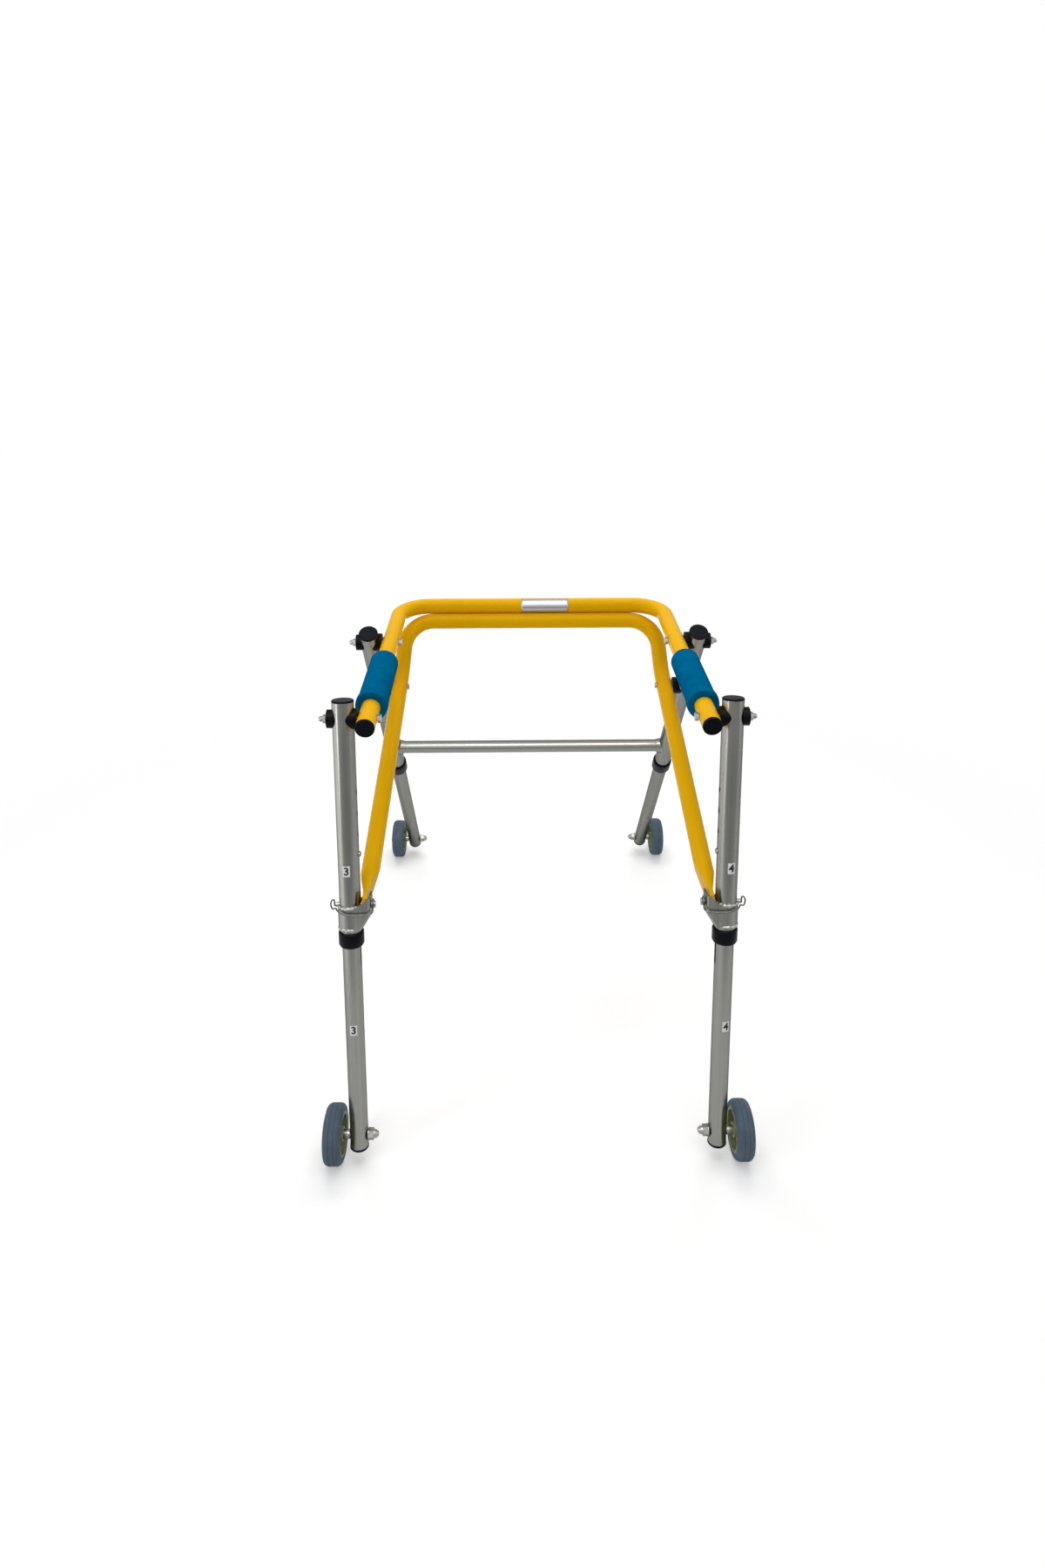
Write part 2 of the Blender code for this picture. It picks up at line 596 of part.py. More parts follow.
def make_lower_tube(name, x, side, parent, pivot_height, button_height, slotted):
    """A lower leg tube; its heights are measured from the leg's axle."""
    bottom = -FOOT_OVERHANG - pivot_height
    top = button_height + LOWER_TUBE_LAP - pivot_height
    tube = turned(name, tube_profile(LOWER_R, LOWER_WALL, bottom, top), hollow=True)
    link(tube, "aluminium", parent, (x, 0, 0))
    drill = cylinder(name + "_axle_drill", AXLE_RADIUS + RUNNING, 0.05, BORE_SIDES, across=True)
    cut(tube, helper(drill, parent, (x, 0, -pivot_height)))
    height = button_height - pivot_height
    hole = cylinder(name + "_lock_hole", HOLE_RADIUS + FIT, 0.012, BORE_SIDES)
    if slotted:
        cut(tube, helper(hole, parent, (x - side * LOWER_R, 0, height), (0, math.pi / 2, 0)))
    else:
        cut(tube, helper(hole, parent, (x, LOWER_R, height), (math.pi / 2, 0, 0)))
    if slotted:
        slot_r = HOLE_RADIUS
        pin = BRACE_PIN_HEIGHT - pivot_height
        slot = box(name + "_slot", (0.05, 2 * slot_r, HEIGHT_RANGE), (0, 0, -HEIGHT_RANGE / 2))
        cut(tube, helper(slot, parent, (x, 0, pin)))
        for end in (0, -HEIGHT_RANGE):
            round_end = cylinder(name + "_slot_end", slot_r, 0.05, BORE_SIDES, across=True)
            cut(tube, helper(round_end, parent, (x, 0, pin + end)))
    return tube


def make_foot_plug(name, x, parent, pivot_height):
    """The black plug in the foot of a lower tube."""
    stem_r = LOWER_R - LOWER_WALL - FIT
    profile = [(0, 0.0070), (stem_r, 0.0070), (stem_r, 0), (LOWER_R + 0.0004, 0), (LOWER_R + 0.0004, -0.0020),
               (LOWER_R - 0.0012, -0.0040), (0, -0.0040)]
    plug = turned(name, profile)
    return link(plug, "black_plastic", parent, (x, 0, -FOOT_OVERHANG - pivot_height - FIT))


def make_axle(name, x, side, parent, height):
    """The axle bolt: hex head outboard, distance sleeve, hex nut and dome inboard."""
    tube_face = LOWER_R + FIT
    hub_face = LOWER_R + WHEEL_GAP + BOSS_INSET
    head_face = LOWER_R + WHEEL_GAP + TYRE_WIDTH - BOSS_INSET + FIT
    head = 0.0050
    nut = 0.0065
    disc = 0.0014
    shaft = cylinder(name, AXLE_RADIUS, head_face + tube_face + 2 * SHAFT_LAP, BORE_SIDES, across=True)
    link(shaft, "zinc_steel", parent, (x + side * (head_face - tube_face) / 2, 0, height))
    sleeve = cylinder(name + "_sleeve", 0.0065, hub_face - tube_face - FIT, BORE_SIDES, across=True)
    fuse(shaft, helper(sleeve, parent, (x + side * (hub_face + tube_face - FIT) / 2, 0, height)))
    flats = hex_prism(name + "_head", HEX_AXLE, head)
    fuse(shaft, helper(flats, parent, (x + side * (head_face + head / 2), 0, height)))
    washer = cylinder(name + "_washer", HEX_AXLE * 0.62, disc, BORE_SIDES, across=True)
    fuse(shaft, helper(washer, parent, (x - side * (tube_face + disc / 2), 0, height)))
    inner = hex_prism(name + "_nut", HEX_AXLE, nut)
    fuse(shaft, helper(inner, parent, (x - side * (tube_face + disc * 0.9 + nut / 2), 0, height)))
    dome = turned(name + "_dome", [(0, 0.0078), (0.0034, 0.0068), (0.0054, 0.0040), (0.0060, 0), (0, 0)], BORE_SIDES)
    at = (x - side * (tube_face + disc + nut - 0.0006), 0, height)
    fuse(shaft, helper(dome, parent, at, (0, -side * math.pi / 2, 0)))
    return shaft


def upright(lean):
    """Turns a wheel's axis to X, and cancels its leg's lean so that a flat of facets meets the floor."""
    return (Matrix.Rotation(lean, 3, "X") @ Matrix.Rotation(math.pi / 2, 3, "Y")).to_euler()


def make_tyre(name, x, side, parent, height, turn):
    """The solid tyre: a flat tread with well rounded shoulders."""
    half = TYRE_WIDTH / 2
    seat = TYRE_SEAT_OD / 2 + FIT
    crown = WHEEL_R
    tread = [(crown - 0.0070, half), (crown - 0.0014, half - 0.0030), (crown, half - 0.0070),
             (crown, 0.0070 - half), (crown - 0.0014, 0.0030 - half), (crown - 0.0070, -half)]
    profile = [(seat, half), *tread, (seat, -half)]
    tyre = turned(name, profile, 24, hollow=True)
    offset = LOWER_R + WHEEL_GAP + half
    return link(tyre, "grey_tyre", parent, (x + side * offset, 0, height), turn)


def sector(inner, outer, half_angle, steps=2):
    """The outline of a hub pocket: a stretch of ring between two spokes."""
    angles = [half_angle * (2 * i / steps - 1) for i in range(steps + 1)]
    arc_out = [(outer * math.cos(a), outer * math.sin(a)) for a in angles]
    arc_in = [(inner * math.cos(a), inner * math.sin(a)) for a in reversed(angles)]
    return arc_out + arc_in


def make_hub(name, x, side, parent, height, turn):
    """The moulded hub: rim, web with pockets between its spokes, and the bearing boss."""
    half = TYRE_WIDTH / 2
    seat = TYRE_SEAT_OD / 2
    rim = 0.0040
    boss = HUB_BOSS_OD / 2
    boss_half = half - BOSS_INSET
    bore = AXLE_RADIUS + RUNNING
    web = HUB_WEB / 2 + 0.003
    rim_half = half - 0.0006
    profile = [(bore, boss_half), (boss, boss_half), (boss, web), (seat - rim, web), (seat - rim, rim_half),
               (seat, rim_half), (seat, -rim_half), (seat - rim, -rim_half), (seat - rim, -web), (boss, -web),
               (boss, -boss_half), (bore, -boss_half)]
    hub = turned(name, profile, hollow=True)
    offset = LOWER_R + WHEEL_GAP + half
    place = (x + side * offset, 0, height)
    link(hub, "hub_nylon", parent, place, turn)
    outline = sector(boss + 0.0020, seat - rim - 0.0015, math.radians(180 / POCKETS) - 0.14)
    for i in range(POCKETS):
        for face in (1, -1):
            pocket = extruded(name + "_pocket", outline, 0.0060)
            clock = Matrix.Rotation(2 * math.pi * i / POCKETS, 4, "Z")
            pocket.data.transform(clock @ Matrix.Translation((0, 0, face * (web + 0.0005))))
            cut(hub, helper(pocket, parent, place, turn))
    return hub


def make_button(name, side, parent, height):
    """The sprung button that stands in a lock hole on the inboard side."""
    foot = UPPER_R - UPPER_WALL + FIT
    tip = UPPER_R + BUTTON_PROUD
    profile = [(0, tip - foot), (BUTTON_RADIUS * 0.6, tip - foot - 0.0004), (BUTTON_RADIUS, tip - foot - 0.0016),
               (BUTTON_RADIUS, 0), (0, 0)]
    button = turned(name, profile, BORE_SIDES)
    return link(button, "zinc_steel", parent, (-side * foot, 0, height), (0, -side * math.pi / 2, 0))


def make_lock_pin(name, side, parent, height):
    """The brace pin: head inboard against the web, shaft through blade and leg, tip outboard."""
    head = PIN_HEAD
    head_face = LEG_X - WEB_INNER + FIT
    tip = SLEEVE_R + PIN_TIP
    pin = cylinder(name, PIN_RADIUS, head_face + SHAFT_LAP + tip, BORE_SIDES, across=True)
    link(pin, "zinc_steel", parent, (side * (tip - head_face - SHAFT_LAP) / 2, 0, height))
    knob = cylinder(name + "_knob", PIN_HEAD_R, head, BORE_SIDES, across=True)
    fuse(pin, helper(knob, parent, (-side * (head_face + head / 2), 0, height)))
    eye = cylinder(name + "_eye", BAIL_WIRE / 2 + FIT, 0.03, 12)
    cut(pin, helper(eye, parent, (-side * (head_face + head / 2), 0, height)))
    return pin


def make_bail(name, side, parent, height):
    """The wire that keeps the pin in: an eye on its head, a strand round the leg, a loop over its tip.

    It turns about the hole through the head, so its origin is there.
    """
    head_x = -(LEG_X - WEB_INNER + FIT + PIN_HEAD / 2)
    ring = PIN_HEAD_R + BAIL_WIRE / 2 + 0.0012
    around = SLEEVE_R + BAIL_WIRE / 2 + 0.0016
    tip = SLEEVE_R + PIN_TIP - head_x
    loop = tip + BAIL_WIRE / 2 + 0.0004
    dip = -0.0070
    knots = [(0, 0, 0.0028), (0, 0, ring), (0, -0.55 * ring, 0.92 * ring), (0, -ring, 0.35 * ring),
             (0, -1.08 * ring, -0.35 * ring), (0, -1.5 * ring, -0.8 * ring), (0, -2.2 * ring, dip)]
    knots += [(0.0022, -around, dip), (0.0120, -around - 0.0004, dip), (0.0220, -around - 0.0004, dip)]
    for angle in (-90, -65, -40, -15):
        turn = math.radians(angle)
        knots.append((around * math.cos(turn) - head_x, around * math.sin(turn), dip))
    knots += [(loop + 0.0022, -0.0010, -0.0062), (loop + 0.0046, 0, -0.0030), (loop + 0.0050, 0, 0.0018),
              (loop + 0.0032, 0, 0.0058), (loop + 0.0006, 0, 0.0062), (loop, 0, 0.0030), (loop, 0, -0.0022)]
    route = smooth_route([Vector((side * x, y, z)) for x, y, z in knots], 2)
    bail = bent_rod(name, route, BAIL_WIRE / 2, 1)
    return link(bail, "zinc_steel", parent, (side * head_x, 0, height))


def make_brace():
    """The lower U: two arms that cross the rear legs and a bar that nests below the rail's bar."""
    kink = BRACE_CROSS + BRACE_DIRECTION * BRACE_BEND_AFTER
    kink_x = BRACE_TRACK_CROSS / 2 - BRACE_FLARE * BRACE_BEND_AFTER
    corners = []
    for side in (1, -1):
        arm = [Vector((side * BRACE_TRACK_PIN / 2, BRACE_PIN.y, BRACE_PIN.z)),
               Vector((side * kink_x, kink.y, kink.z)),
               Vector((side * BRACE_TRACK_BAR / 2, BRACE_BAR.y, BRACE_BAR.z))]
        corners += arm if side == 1 else arm[::-1]
    corners = [corner - BRACE_CROSS for corner in corners]
    radii = (BRACE_KINK_RADIUS, RAIL_BEND, RAIL_BEND, BRACE_KINK_RADIUS)
    route = rounded_route(corners, radii)
    brace = bent_rod("lower_brace", route, RAIL_R, tube_resolution(SIDES))
    link(brace, "yellow_paint", CROSS_EMPTY)
    solid_end = BLADE_TAPER + 0.020
    first = (route[1] - route[0]).normalized()
    last = (route[-2] - route[-1]).normalized()
    bore_route = [route[0] + first * solid_end, *route[1:-1], route[-1] + last * solid_end]
    bore = bent_rod("brace_bore", bore_route, RAIL_R - RAIL_WALL, tube_resolution(BORE_SIDES))
    cut(brace, helper(bore, CROSS_EMPTY))
    for side in SIDE_NAMES:
        shape_blade(brace, side)
        drill = cylinder("brace_drill", PIVOT_RADIUS + RUNNING, 0.05, BORE_SIDES, across=True)
        cut(brace, helper(drill, CROSS_EMPTY, (side * BRACE_TRACK_CROSS / 2, 0, 0)))
    return brace


def shape_blade(brace, side):
    """Flatten an arm's end to a blade beside the leg, with a round tip and a roomy pin hole."""
    pin = BRACE_PIN - BRACE_CROSS
    slope = math.atan2(BRACE_DIRECTION.z, BRACE_DIRECTION.y)
    rotation = (slope, 0, 0)
    place = (0, pin.y, pin.z)
    cover = 0.04
    start = 0.012
    middle = BRACE_TRACK_PIN / 2
    for face, sign in ((BLADE_OUTER, 1), (BLADE_INNER, -1)):
        full = middle + sign * (RAIL_R + 0.0015)
        far = middle + sign * 0.04
        wedge = [(full, start + BLADE_TAPER), (face, start), (face, -cover), (far, -cover),
                 (far, start + BLADE_TAPER)]
        flat = extruded("blade_face", [(side * x, y) for x, y in wedge], 0.05)
        cut(brace, helper(flat, CROSS_EMPTY, place, rotation))
    thickness = BLADE_OUTER - BLADE_INNER
    tip = cylinder("blade_tip", BLADE_RADIUS, thickness, across=True)
    centre = side * (BLADE_OUTER + BLADE_INNER) / 2
    fuse(brace, helper(tip, CROSS_EMPTY, (centre, pin.y, pin.z)))
    hole = cylinder("blade_hole", PIN_RADIUS + FOLD_PLAY + RUNNING, 0.03, across=True)
    cut(brace, helper(hole, CROSS_EMPTY, (centre, pin.y, pin.z)))


def make_cross_bolt(side):
    """The bolt of the crossing pivot: low round head on the brace, nut outboard of the leg."""
    name = f"cross_bolt_{SIDE_NAMES[side]}"
    head = 0.0026
    inner = BRACE_TRACK_CROSS / 2 - RAIL_R - FIT - 0.0004
    outer = LEG_OUTER_FACE + FIT
    nut = 0.0050
    height = CROSS_RISE
    bolt = cylinder(name, PIVOT_RADIUS, outer - inner + 2 * SHAFT_LAP, BORE_SIDES, across=True)
    link(bolt, "zinc_steel", REAR_EMPTY, (side * (outer + inner) / 2, 0, height))
    rivet = turned(name + "_head", [(0, head), (0.0034, head * 0.8), (0.0052, head * 0.3), (0.0054, 0), (0, 0)], BORE_SIDES)
    fuse(bolt, helper(rivet, REAR_EMPTY, (side * inner, 0, height), (0, -side * math.pi / 2, 0)))
    flats = hex_prism(name + "_nut", HEX_PIVOT, nut)
    fuse(bolt, helper(flats, REAR_EMPTY, (side * (outer + nut / 2), 0, height)))
    return bolt


def make_wheel(corner, x, side, parent, pivot_height, lean):
    make_axle(f"axle_bolt_{corner}", x, side, parent, -pivot_height)
    make_hub(f"wheel_hub_{corner}", x, side, parent, -pivot_height, upright(lean))
    make_tyre(f"tyre_{corner}", x, side, parent, -pivot_height, upright(lean))


REAR_EMPTY = frame_empty("rear_frame_pivot", REAR_PIVOT, -REAR_LEAN)

make_rail()
make_brace()
make_rear_frame()
for hand, hand_name in SIDE_NAMES.items():
    make_end_plug(hand)
    make_grip(hand)
    make_pivot_bolt(f"front_pivot_bolt_{hand_name}", hand, 0)
    make_pivot_bolt(f"rear_pivot_bolt_{hand_name}", hand, PIVOT_SPAN)
    make_cross_bolt(hand)

    front = frame_empty(f"front_leg_pivot_{hand_name}", FRONT_PIVOT + Vector((hand * LEG_X, 0, 0)), FRONT_LEAN)
    make_front_upper(hand, front, f"front_upper_leg_{hand_name}")
    make_leg_spacer(f"front_spacer_{hand_name}", 0, hand, front, 0, RAIL_OUTER + FIT)
    make_leg_washer(f"front_washer_{hand_name}", 0, hand, front)
    make_cap(f"front_leg_cap_{hand_name}", 0, front, FRONT_PIVOT_DROP)
    make_collar(f"front_collar_{hand_name}", 0, front, FRONT_COLLAR_HEIGHT - FRONT_PIVOT_HEIGHT,
                FRONT_COLLAR_LENGTH)
    make_lower_tube(f"front_lower_leg_{hand_name}", 0, hand, front, FRONT_PIVOT_HEIGHT, FRONT_BUTTON_HEIGHT, True)
    make_foot_plug(f"front_foot_plug_{hand_name}", 0, front, FRONT_PIVOT_HEIGHT)
    make_button(f"lock_button_{hand_name}", hand, front, FRONT_BUTTON_HEIGHT - FRONT_PIVOT_HEIGHT)
    pin_height = BRACE_PIN_HEIGHT - FRONT_PIVOT_HEIGHT
    make_lock_pin(f"brace_pin_{hand_name}", hand, front, pin_height)
    make_bail(f"pin_bail_{hand_name}", hand, front, pin_height)
    make_wheel(f"front_{hand_name}", 0, hand, front, FRONT_PIVOT_HEIGHT, FRONT_LEAN)

    leg_x = hand * LEG_X
    make_leg_spacer(f"rear_spacer_{hand_name}", leg_x, hand, REAR_EMPTY, 0, RAIL_OUTER + FIT)
    make_leg_spacer(f"cross_spacer_{hand_name}", leg_x, hand, REAR_EMPTY, CROSS_RISE, BRACE_OUTER + FIT)
    make_leg_washer(f"rear_washer_{hand_name}", leg_x, hand, REAR_EMPTY)
    make_cap(f"rear_leg_cap_{hand_name}", leg_x, REAR_EMPTY, REAR_PIVOT_DROP)
    make_collar(f"rear_collar_{hand_name}", leg_x, REAR_EMPTY, REAR_COLLAR_HEIGHT - REAR_PIVOT_HEIGHT,
                REAR_COLLAR_LENGTH)
    make_lower_tube(f"rear_lower_leg_{hand_name}", leg_x, hand, REAR_EMPTY, REAR_PIVOT_HEIGHT,
                    REAR_BUTTON_HEIGHT, False)
    make_foot_plug(f"rear_foot_plug_{hand_name}", leg_x, REAR_EMPTY, REAR_PIVOT_HEIGHT)
    make_wheel(f"rear_{hand_name}", leg_x, hand, REAR_EMPTY, REAR_PIVOT_HEIGHT, -REAR_LEAN)
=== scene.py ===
import json
import math

import bmesh
import bpy
from mathutils import Matrix, Vector, noise

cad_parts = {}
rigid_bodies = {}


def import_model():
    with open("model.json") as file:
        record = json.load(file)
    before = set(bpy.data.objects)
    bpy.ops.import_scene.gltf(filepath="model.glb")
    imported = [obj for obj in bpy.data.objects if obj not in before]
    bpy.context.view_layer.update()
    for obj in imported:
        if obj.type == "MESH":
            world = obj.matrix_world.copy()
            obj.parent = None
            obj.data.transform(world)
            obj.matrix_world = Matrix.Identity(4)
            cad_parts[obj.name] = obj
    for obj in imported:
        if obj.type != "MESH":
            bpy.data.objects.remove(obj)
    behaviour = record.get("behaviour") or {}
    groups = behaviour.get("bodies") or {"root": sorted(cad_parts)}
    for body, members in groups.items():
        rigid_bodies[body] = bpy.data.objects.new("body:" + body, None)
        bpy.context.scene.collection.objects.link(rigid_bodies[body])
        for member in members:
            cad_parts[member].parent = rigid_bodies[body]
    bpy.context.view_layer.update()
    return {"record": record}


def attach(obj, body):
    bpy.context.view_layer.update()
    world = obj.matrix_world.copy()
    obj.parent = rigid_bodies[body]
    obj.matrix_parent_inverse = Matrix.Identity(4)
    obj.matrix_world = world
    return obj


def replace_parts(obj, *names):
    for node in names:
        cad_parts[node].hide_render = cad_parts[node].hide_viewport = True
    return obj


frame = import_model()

# Driving dimensions of the whole frame
WHEEL_BASE = 0.782          # front axle to rear axle, along Y
LEG_TRACK = 0.503           # between the two planes that the legs lie in
FRONT_LEAN = math.radians(10.0)    # top of a front leg leans back by this
REAR_LEAN = math.radians(35.4)     # top of a rear leg leans forward by this
FRONT_LEG = 0.6200          # axle to the top of the upper tube, without its cap
REAR_LEG = 0.7670
FRONT_PIVOT_DROP = 0.0224   # rail pivot below the top of the leg
REAR_PIVOT_DROP = 0.0206
BRACE_PIN_HEIGHT = 0.3430   # brace pin above the axle, along the front leg
BRACE_CROSS_HEIGHT = 0.6200  # where the brace crosses the rear leg, above its axle
CROSSBAR_HEIGHT = 0.4160
FRONT_COLLAR_HEIGHT = 0.2860  # lower rim of the black collar
REAR_COLLAR_HEIGHT = 0.3340
FRONT_COLLAR_LENGTH = 0.0204
REAR_COLLAR_LENGTH = 0.0270
FOOT_OVERHANG = 0.0165      # lower tube below its axle
TUBE_SEAT = 0.0030          # lower end of an upper tube, above the rim of its collar

# Tube sizes
UPPER_OD = 0.0286
UPPER_WALL = 0.0014
LOWER_OD = 0.0254
LOWER_WALL = 0.0014
RAIL_OD = 0.0254
RAIL_WALL = 0.0015
CROSSBAR_OD = 0.0222

# Hand rail
RAIL_GAP = 0.0045           # between the rail and the legs beside it
RAIL_OVERHANG = 0.0245      # open tube end in front of the front pivot, without its plug
RAIL_REACH = 0.3985         # front pivot to the back bar, along the rail
RAIL_BEND = 0.050
GRIP_OD = 0.0405
GRIP_LIP_OD = 0.0435
GRIP_LIP = 0.018
GRIP_START = 0.0300         # behind the front pivot
GRIP_LENGTH = 0.1465

# Lower U-shaped brace
BRACE_TRACK_PIN = 0.4630    # tube centres at the pin, if the tube ran on unflattened
BRACE_GAP = 0.0055          # between the brace and the rear legs that it crosses
BRACE_TRACK_BAR = 0.4200
BRACE_BEND_AFTER = 0.030    # bend starts past the crossing pivot
BRACE_KINK_RADIUS = 0.060
BAR_NEST_ANGLE = math.radians(24.0)  # brace bar sits this far in front of plumb below the rail bar
BAR_GAP = 0.0001            # too narrow to see light through
BLADE_THICKNESS = 0.0060
BLADE_SIDE_GAP = 0.0028      # on each side of the blade, to the leg and to the web
BLADE_TAPER = 0.045         # length of the flattened stretch
BLADE_RADIUS = 0.0115

# Telescoping and its lock
HOLE_PITCH = 0.0285
HOLE_COUNT = 4
HOLE_RADIUS = 0.0040
FRONT_BUTTON_HEIGHT = 0.4140
REAR_BUTTON_HEIGHT = 0.4500
LOWER_TUBE_LAP = 0.0160     # lower tube above its button
BUTTON_RADIUS = 0.0036
BUTTON_PROUD = 0.0030

# Wheels
WHEEL_OD = 0.0800
TYRE_WIDTH = 0.0250
TYRE_SEAT_OD = 0.0600
HUB_WEB = 0.0070
HUB_BOSS_OD = 0.0200
BOSS_INSET = 0.0010         # ends of the hub boss, inside the faces of the tyre
WHEEL_GAP = 0.0080          # side of the leg to the side of the tyre
POCKETS = 5

# Fasteners
AXLE_RADIUS = 0.0040
PIVOT_RADIUS = 0.0030
PIN_RADIUS = 0.00315
PIN_TIP = 0.0030            # brace pin beyond the leg
PIN_HEAD = 0.0052
PIN_HEAD_R = 0.0048
BAIL_WIRE = 0.0021
FOLD_PLAY = 0.0020          # play that the brace pin needs in the blade while the frame folds
HEX_AXLE = 0.0140           # across flats
HEX_PIVOT = 0.0100
WELD_LAP = 0.0080           # the crossbar ends this far from the middle of a leg
SHAFT_LAP = 0.0015          # shafts run this far into their heads and nuts
WASHER_OUT = 0.0062         # black washers stand out this far from the leg
SPACER_R = 0.0137
SADDLE_REACH = 0.0028       # wings of a spacer end this far from the middle of the leg

# Fits
FIT = 0.0003                # between pieces that touch
RUNNING = 0.00015           # between a pivot and what turns on it
SIDES = 40
BORE_SIDES = 20
ARC_STEP = math.radians(4)  # between the points of a rounded corner

# Places and sizes worked out from the driving dimensions
QUARTER = math.pi / 2
LEG_X = LEG_TRACK / 2
UPPER_R = UPPER_OD / 2
LOWER_R = LOWER_OD / 2
RAIL_R = RAIL_OD / 2
WHEEL_R = WHEEL_OD / 2
RAIL_X = (LEG_TRACK - UPPER_OD - RAIL_OD - 2 * RAIL_GAP) / 2
BRACE_X = (LEG_TRACK - UPPER_OD - RAIL_OD - 2 * BRACE_GAP) / 2    # where it crosses the rear legs
HEIGHT_RANGE = HOLE_PITCH * (HOLE_COUNT - 1)
PIVOT_BORE = PIVOT_RADIUS + RUNNING
UPPER_BORE = UPPER_R - UPPER_WALL
WHEEL_OUT = LOWER_R + WHEEL_GAP + TYRE_WIDTH / 2     # middle of the wheel, from the middle of its leg
SIDE_NAMES = {-1: "left", 1: "right"}

FRONT_UP = Vector((0, math.sin(FRONT_LEAN), math.cos(FRONT_LEAN)))
REAR_UP = Vector((0, -math.sin(REAR_LEAN), math.cos(REAR_LEAN)))
FRONT_AXLE = Vector((0, -WHEEL_BASE / 2, WHEEL_R))
REAR_AXLE = Vector((0, WHEEL_BASE / 2, WHEEL_R))
FRONT_PIVOT_HEIGHT = FRONT_LEG - FRONT_PIVOT_DROP
REAR_PIVOT_HEIGHT = REAR_LEG - REAR_PIVOT_DROP
FRONT_PIVOT = FRONT_AXLE + FRONT_UP * FRONT_PIVOT_HEIGHT
REAR_PIVOT = REAR_AXLE + REAR_UP * REAR_PIVOT_HEIGHT
RAIL_DIRECTION = (REAR_PIVOT - FRONT_PIVOT).normalized()
PIVOT_SPAN = (REAR_PIVOT - FRONT_PIVOT).length
BACK_BAR = FRONT_PIVOT + RAIL_DIRECTION * RAIL_REACH
BRACE_PIN = FRONT_AXLE + FRONT_UP * BRACE_PIN_HEIGHT
BRACE_CROSS = REAR_AXLE + REAR_UP * BRACE_CROSS_HEIGHT
BRACE_DIRECTION = (BRACE_CROSS - BRACE_PIN).normalized()
NEST = Vector((0, -math.sin(BAR_NEST_ANGLE), -math.cos(BAR_NEST_ANGLE)))
BRACE_BAR = BACK_BAR + NEST * (RAIL_OD + BAR_GAP)
BRACE_FLARE = (BRACE_TRACK_PIN / 2 - BRACE_X) / (BRACE_CROSS - BRACE_PIN).length
LEG_INNER_FACE = LEG_X - UPPER_R
LEG_OUTER_FACE = LEG_X + UPPER_R
BLADE_OUTER = LEG_INNER_FACE - BLADE_SIDE_GAP
BLADE_INNER = BLADE_OUTER - BLADE_THICKNESS
WEB_THICKNESS = 0.0024
WEB_OUT = LEG_X - (BLADE_INNER - BLADE_SIDE_GAP - WEB_THICKNESS)    # bracket's face, from the leg's middle
SLEEVE_R = UPPER_R + 0.0022
SLEEVE_LOW = -0.0305        # ends of the bracket's sleeve, from the brace pin
SLEEVE_TOP = 0.0012

WORK = bpy.data.collections.new("work")
bpy.context.scene.collection.children.link(WORK)
PIECES = {}


def place(obj, parent=None, location=(0, 0, 0), rotation=(0, 0, 0)):
    WORK.objects.link(obj)
    obj.parent = parent
    obj.location = location
    obj.rotation_euler = rotation
    return obj


def make(node, obj, *spot):
    """Places a shape as the piece that stands for the CAD node of this name."""
    PIECES[node] = place(obj, *spot)
    return obj


def boolean(obj, operation, tool):
    modifier = obj.modifiers.new(operation, "BOOLEAN")
    modifier.operation = operation
    modifier.solver = "EXACT"
    modifier.object = tool


def cut(obj, tool, *spot):
    boolean(obj, "DIFFERENCE", place(tool, *spot))


def fuse(obj, tool, *spot):
    boolean(obj, "UNION", place(tool, *spot))


def mesh_object(bm):
    mesh = bpy.data.meshes.new("shape")
    bm.to_mesh(mesh)
    bm.free()
    return bpy.data.objects.new("shape", mesh)


def cylinder(radius, length, sides=SIDES):
    """A cylinder centred on its origin, along local Z."""
    bm = bmesh.new()
    bmesh.ops.create_cone(bm, cap_ends=True, segments=sides, radius1=radius, radius2=radius, depth=length)
    return mesh_object(bm)


def rod(radius, length, sides=BORE_SIDES):
    """A cylinder along local X."""
    obj = cylinder(radius, length, sides)
    obj.data.transform(Matrix.Rotation(QUARTER, 4, "Y"))
    return obj


def hexagon(across_flats, length):
    return rod(across_flats / math.sqrt(3), length, 6)


def drill(obj, radius, spot, length=0.05, sides=BORE_SIDES):
    """A round hole along X."""
    cut(obj, rod(radius, length, sides), *spot)


def box(size):
    bm = bmesh.new()
    bmesh.ops.create_cube(bm, size=1.0)
    bmesh.ops.scale(bm, verts=bm.verts, vec=size)
    return mesh_object(bm)


def turned(profile, sides=SIDES, hollow=False):
    """A turned piece from (radius, height) points, run down the outer side from the top.

    A solid profile starts and ends on the axis; a hollow one closes on itself.
    """
    mesh = bpy.data.meshes.new("shape")
    edges = [(i, i + 1) for i in range(len(profile) - 1)]
    if hollow:
        edges.append((len(profile) - 1, 0))
    mesh.from_pydata([(r, 0, z) for r, z in profile], edges, [])
    obj = bpy.data.objects.new("shape", mesh)
    screw = obj.modifiers.new("turn", "SCREW")
    screw.steps = sides
    screw.render_steps = sides
    screw.use_merge_vertices = True
    screw.merge_threshold = 0.00001
    return obj


def mirrored(half):
    """A profile of (radius, height) points above the middle, carried on below it."""
    return half + [(radius, -height) for radius, height in reversed(half)]


def bmesh_of(curve):
    """The faces of a curve or a text."""
    holder = bpy.data.objects.new("curve", curve)
    bpy.context.scene.collection.objects.link(holder)
    bpy.context.view_layer.update()
    mesh = bpy.data.meshes.new_from_object(holder.evaluated_get(bpy.context.evaluated_depsgraph_get()))
    bpy.data.objects.remove(holder, do_unlink=True)
    bm = bmesh.new()
    bm.from_mesh(mesh)
    return bm


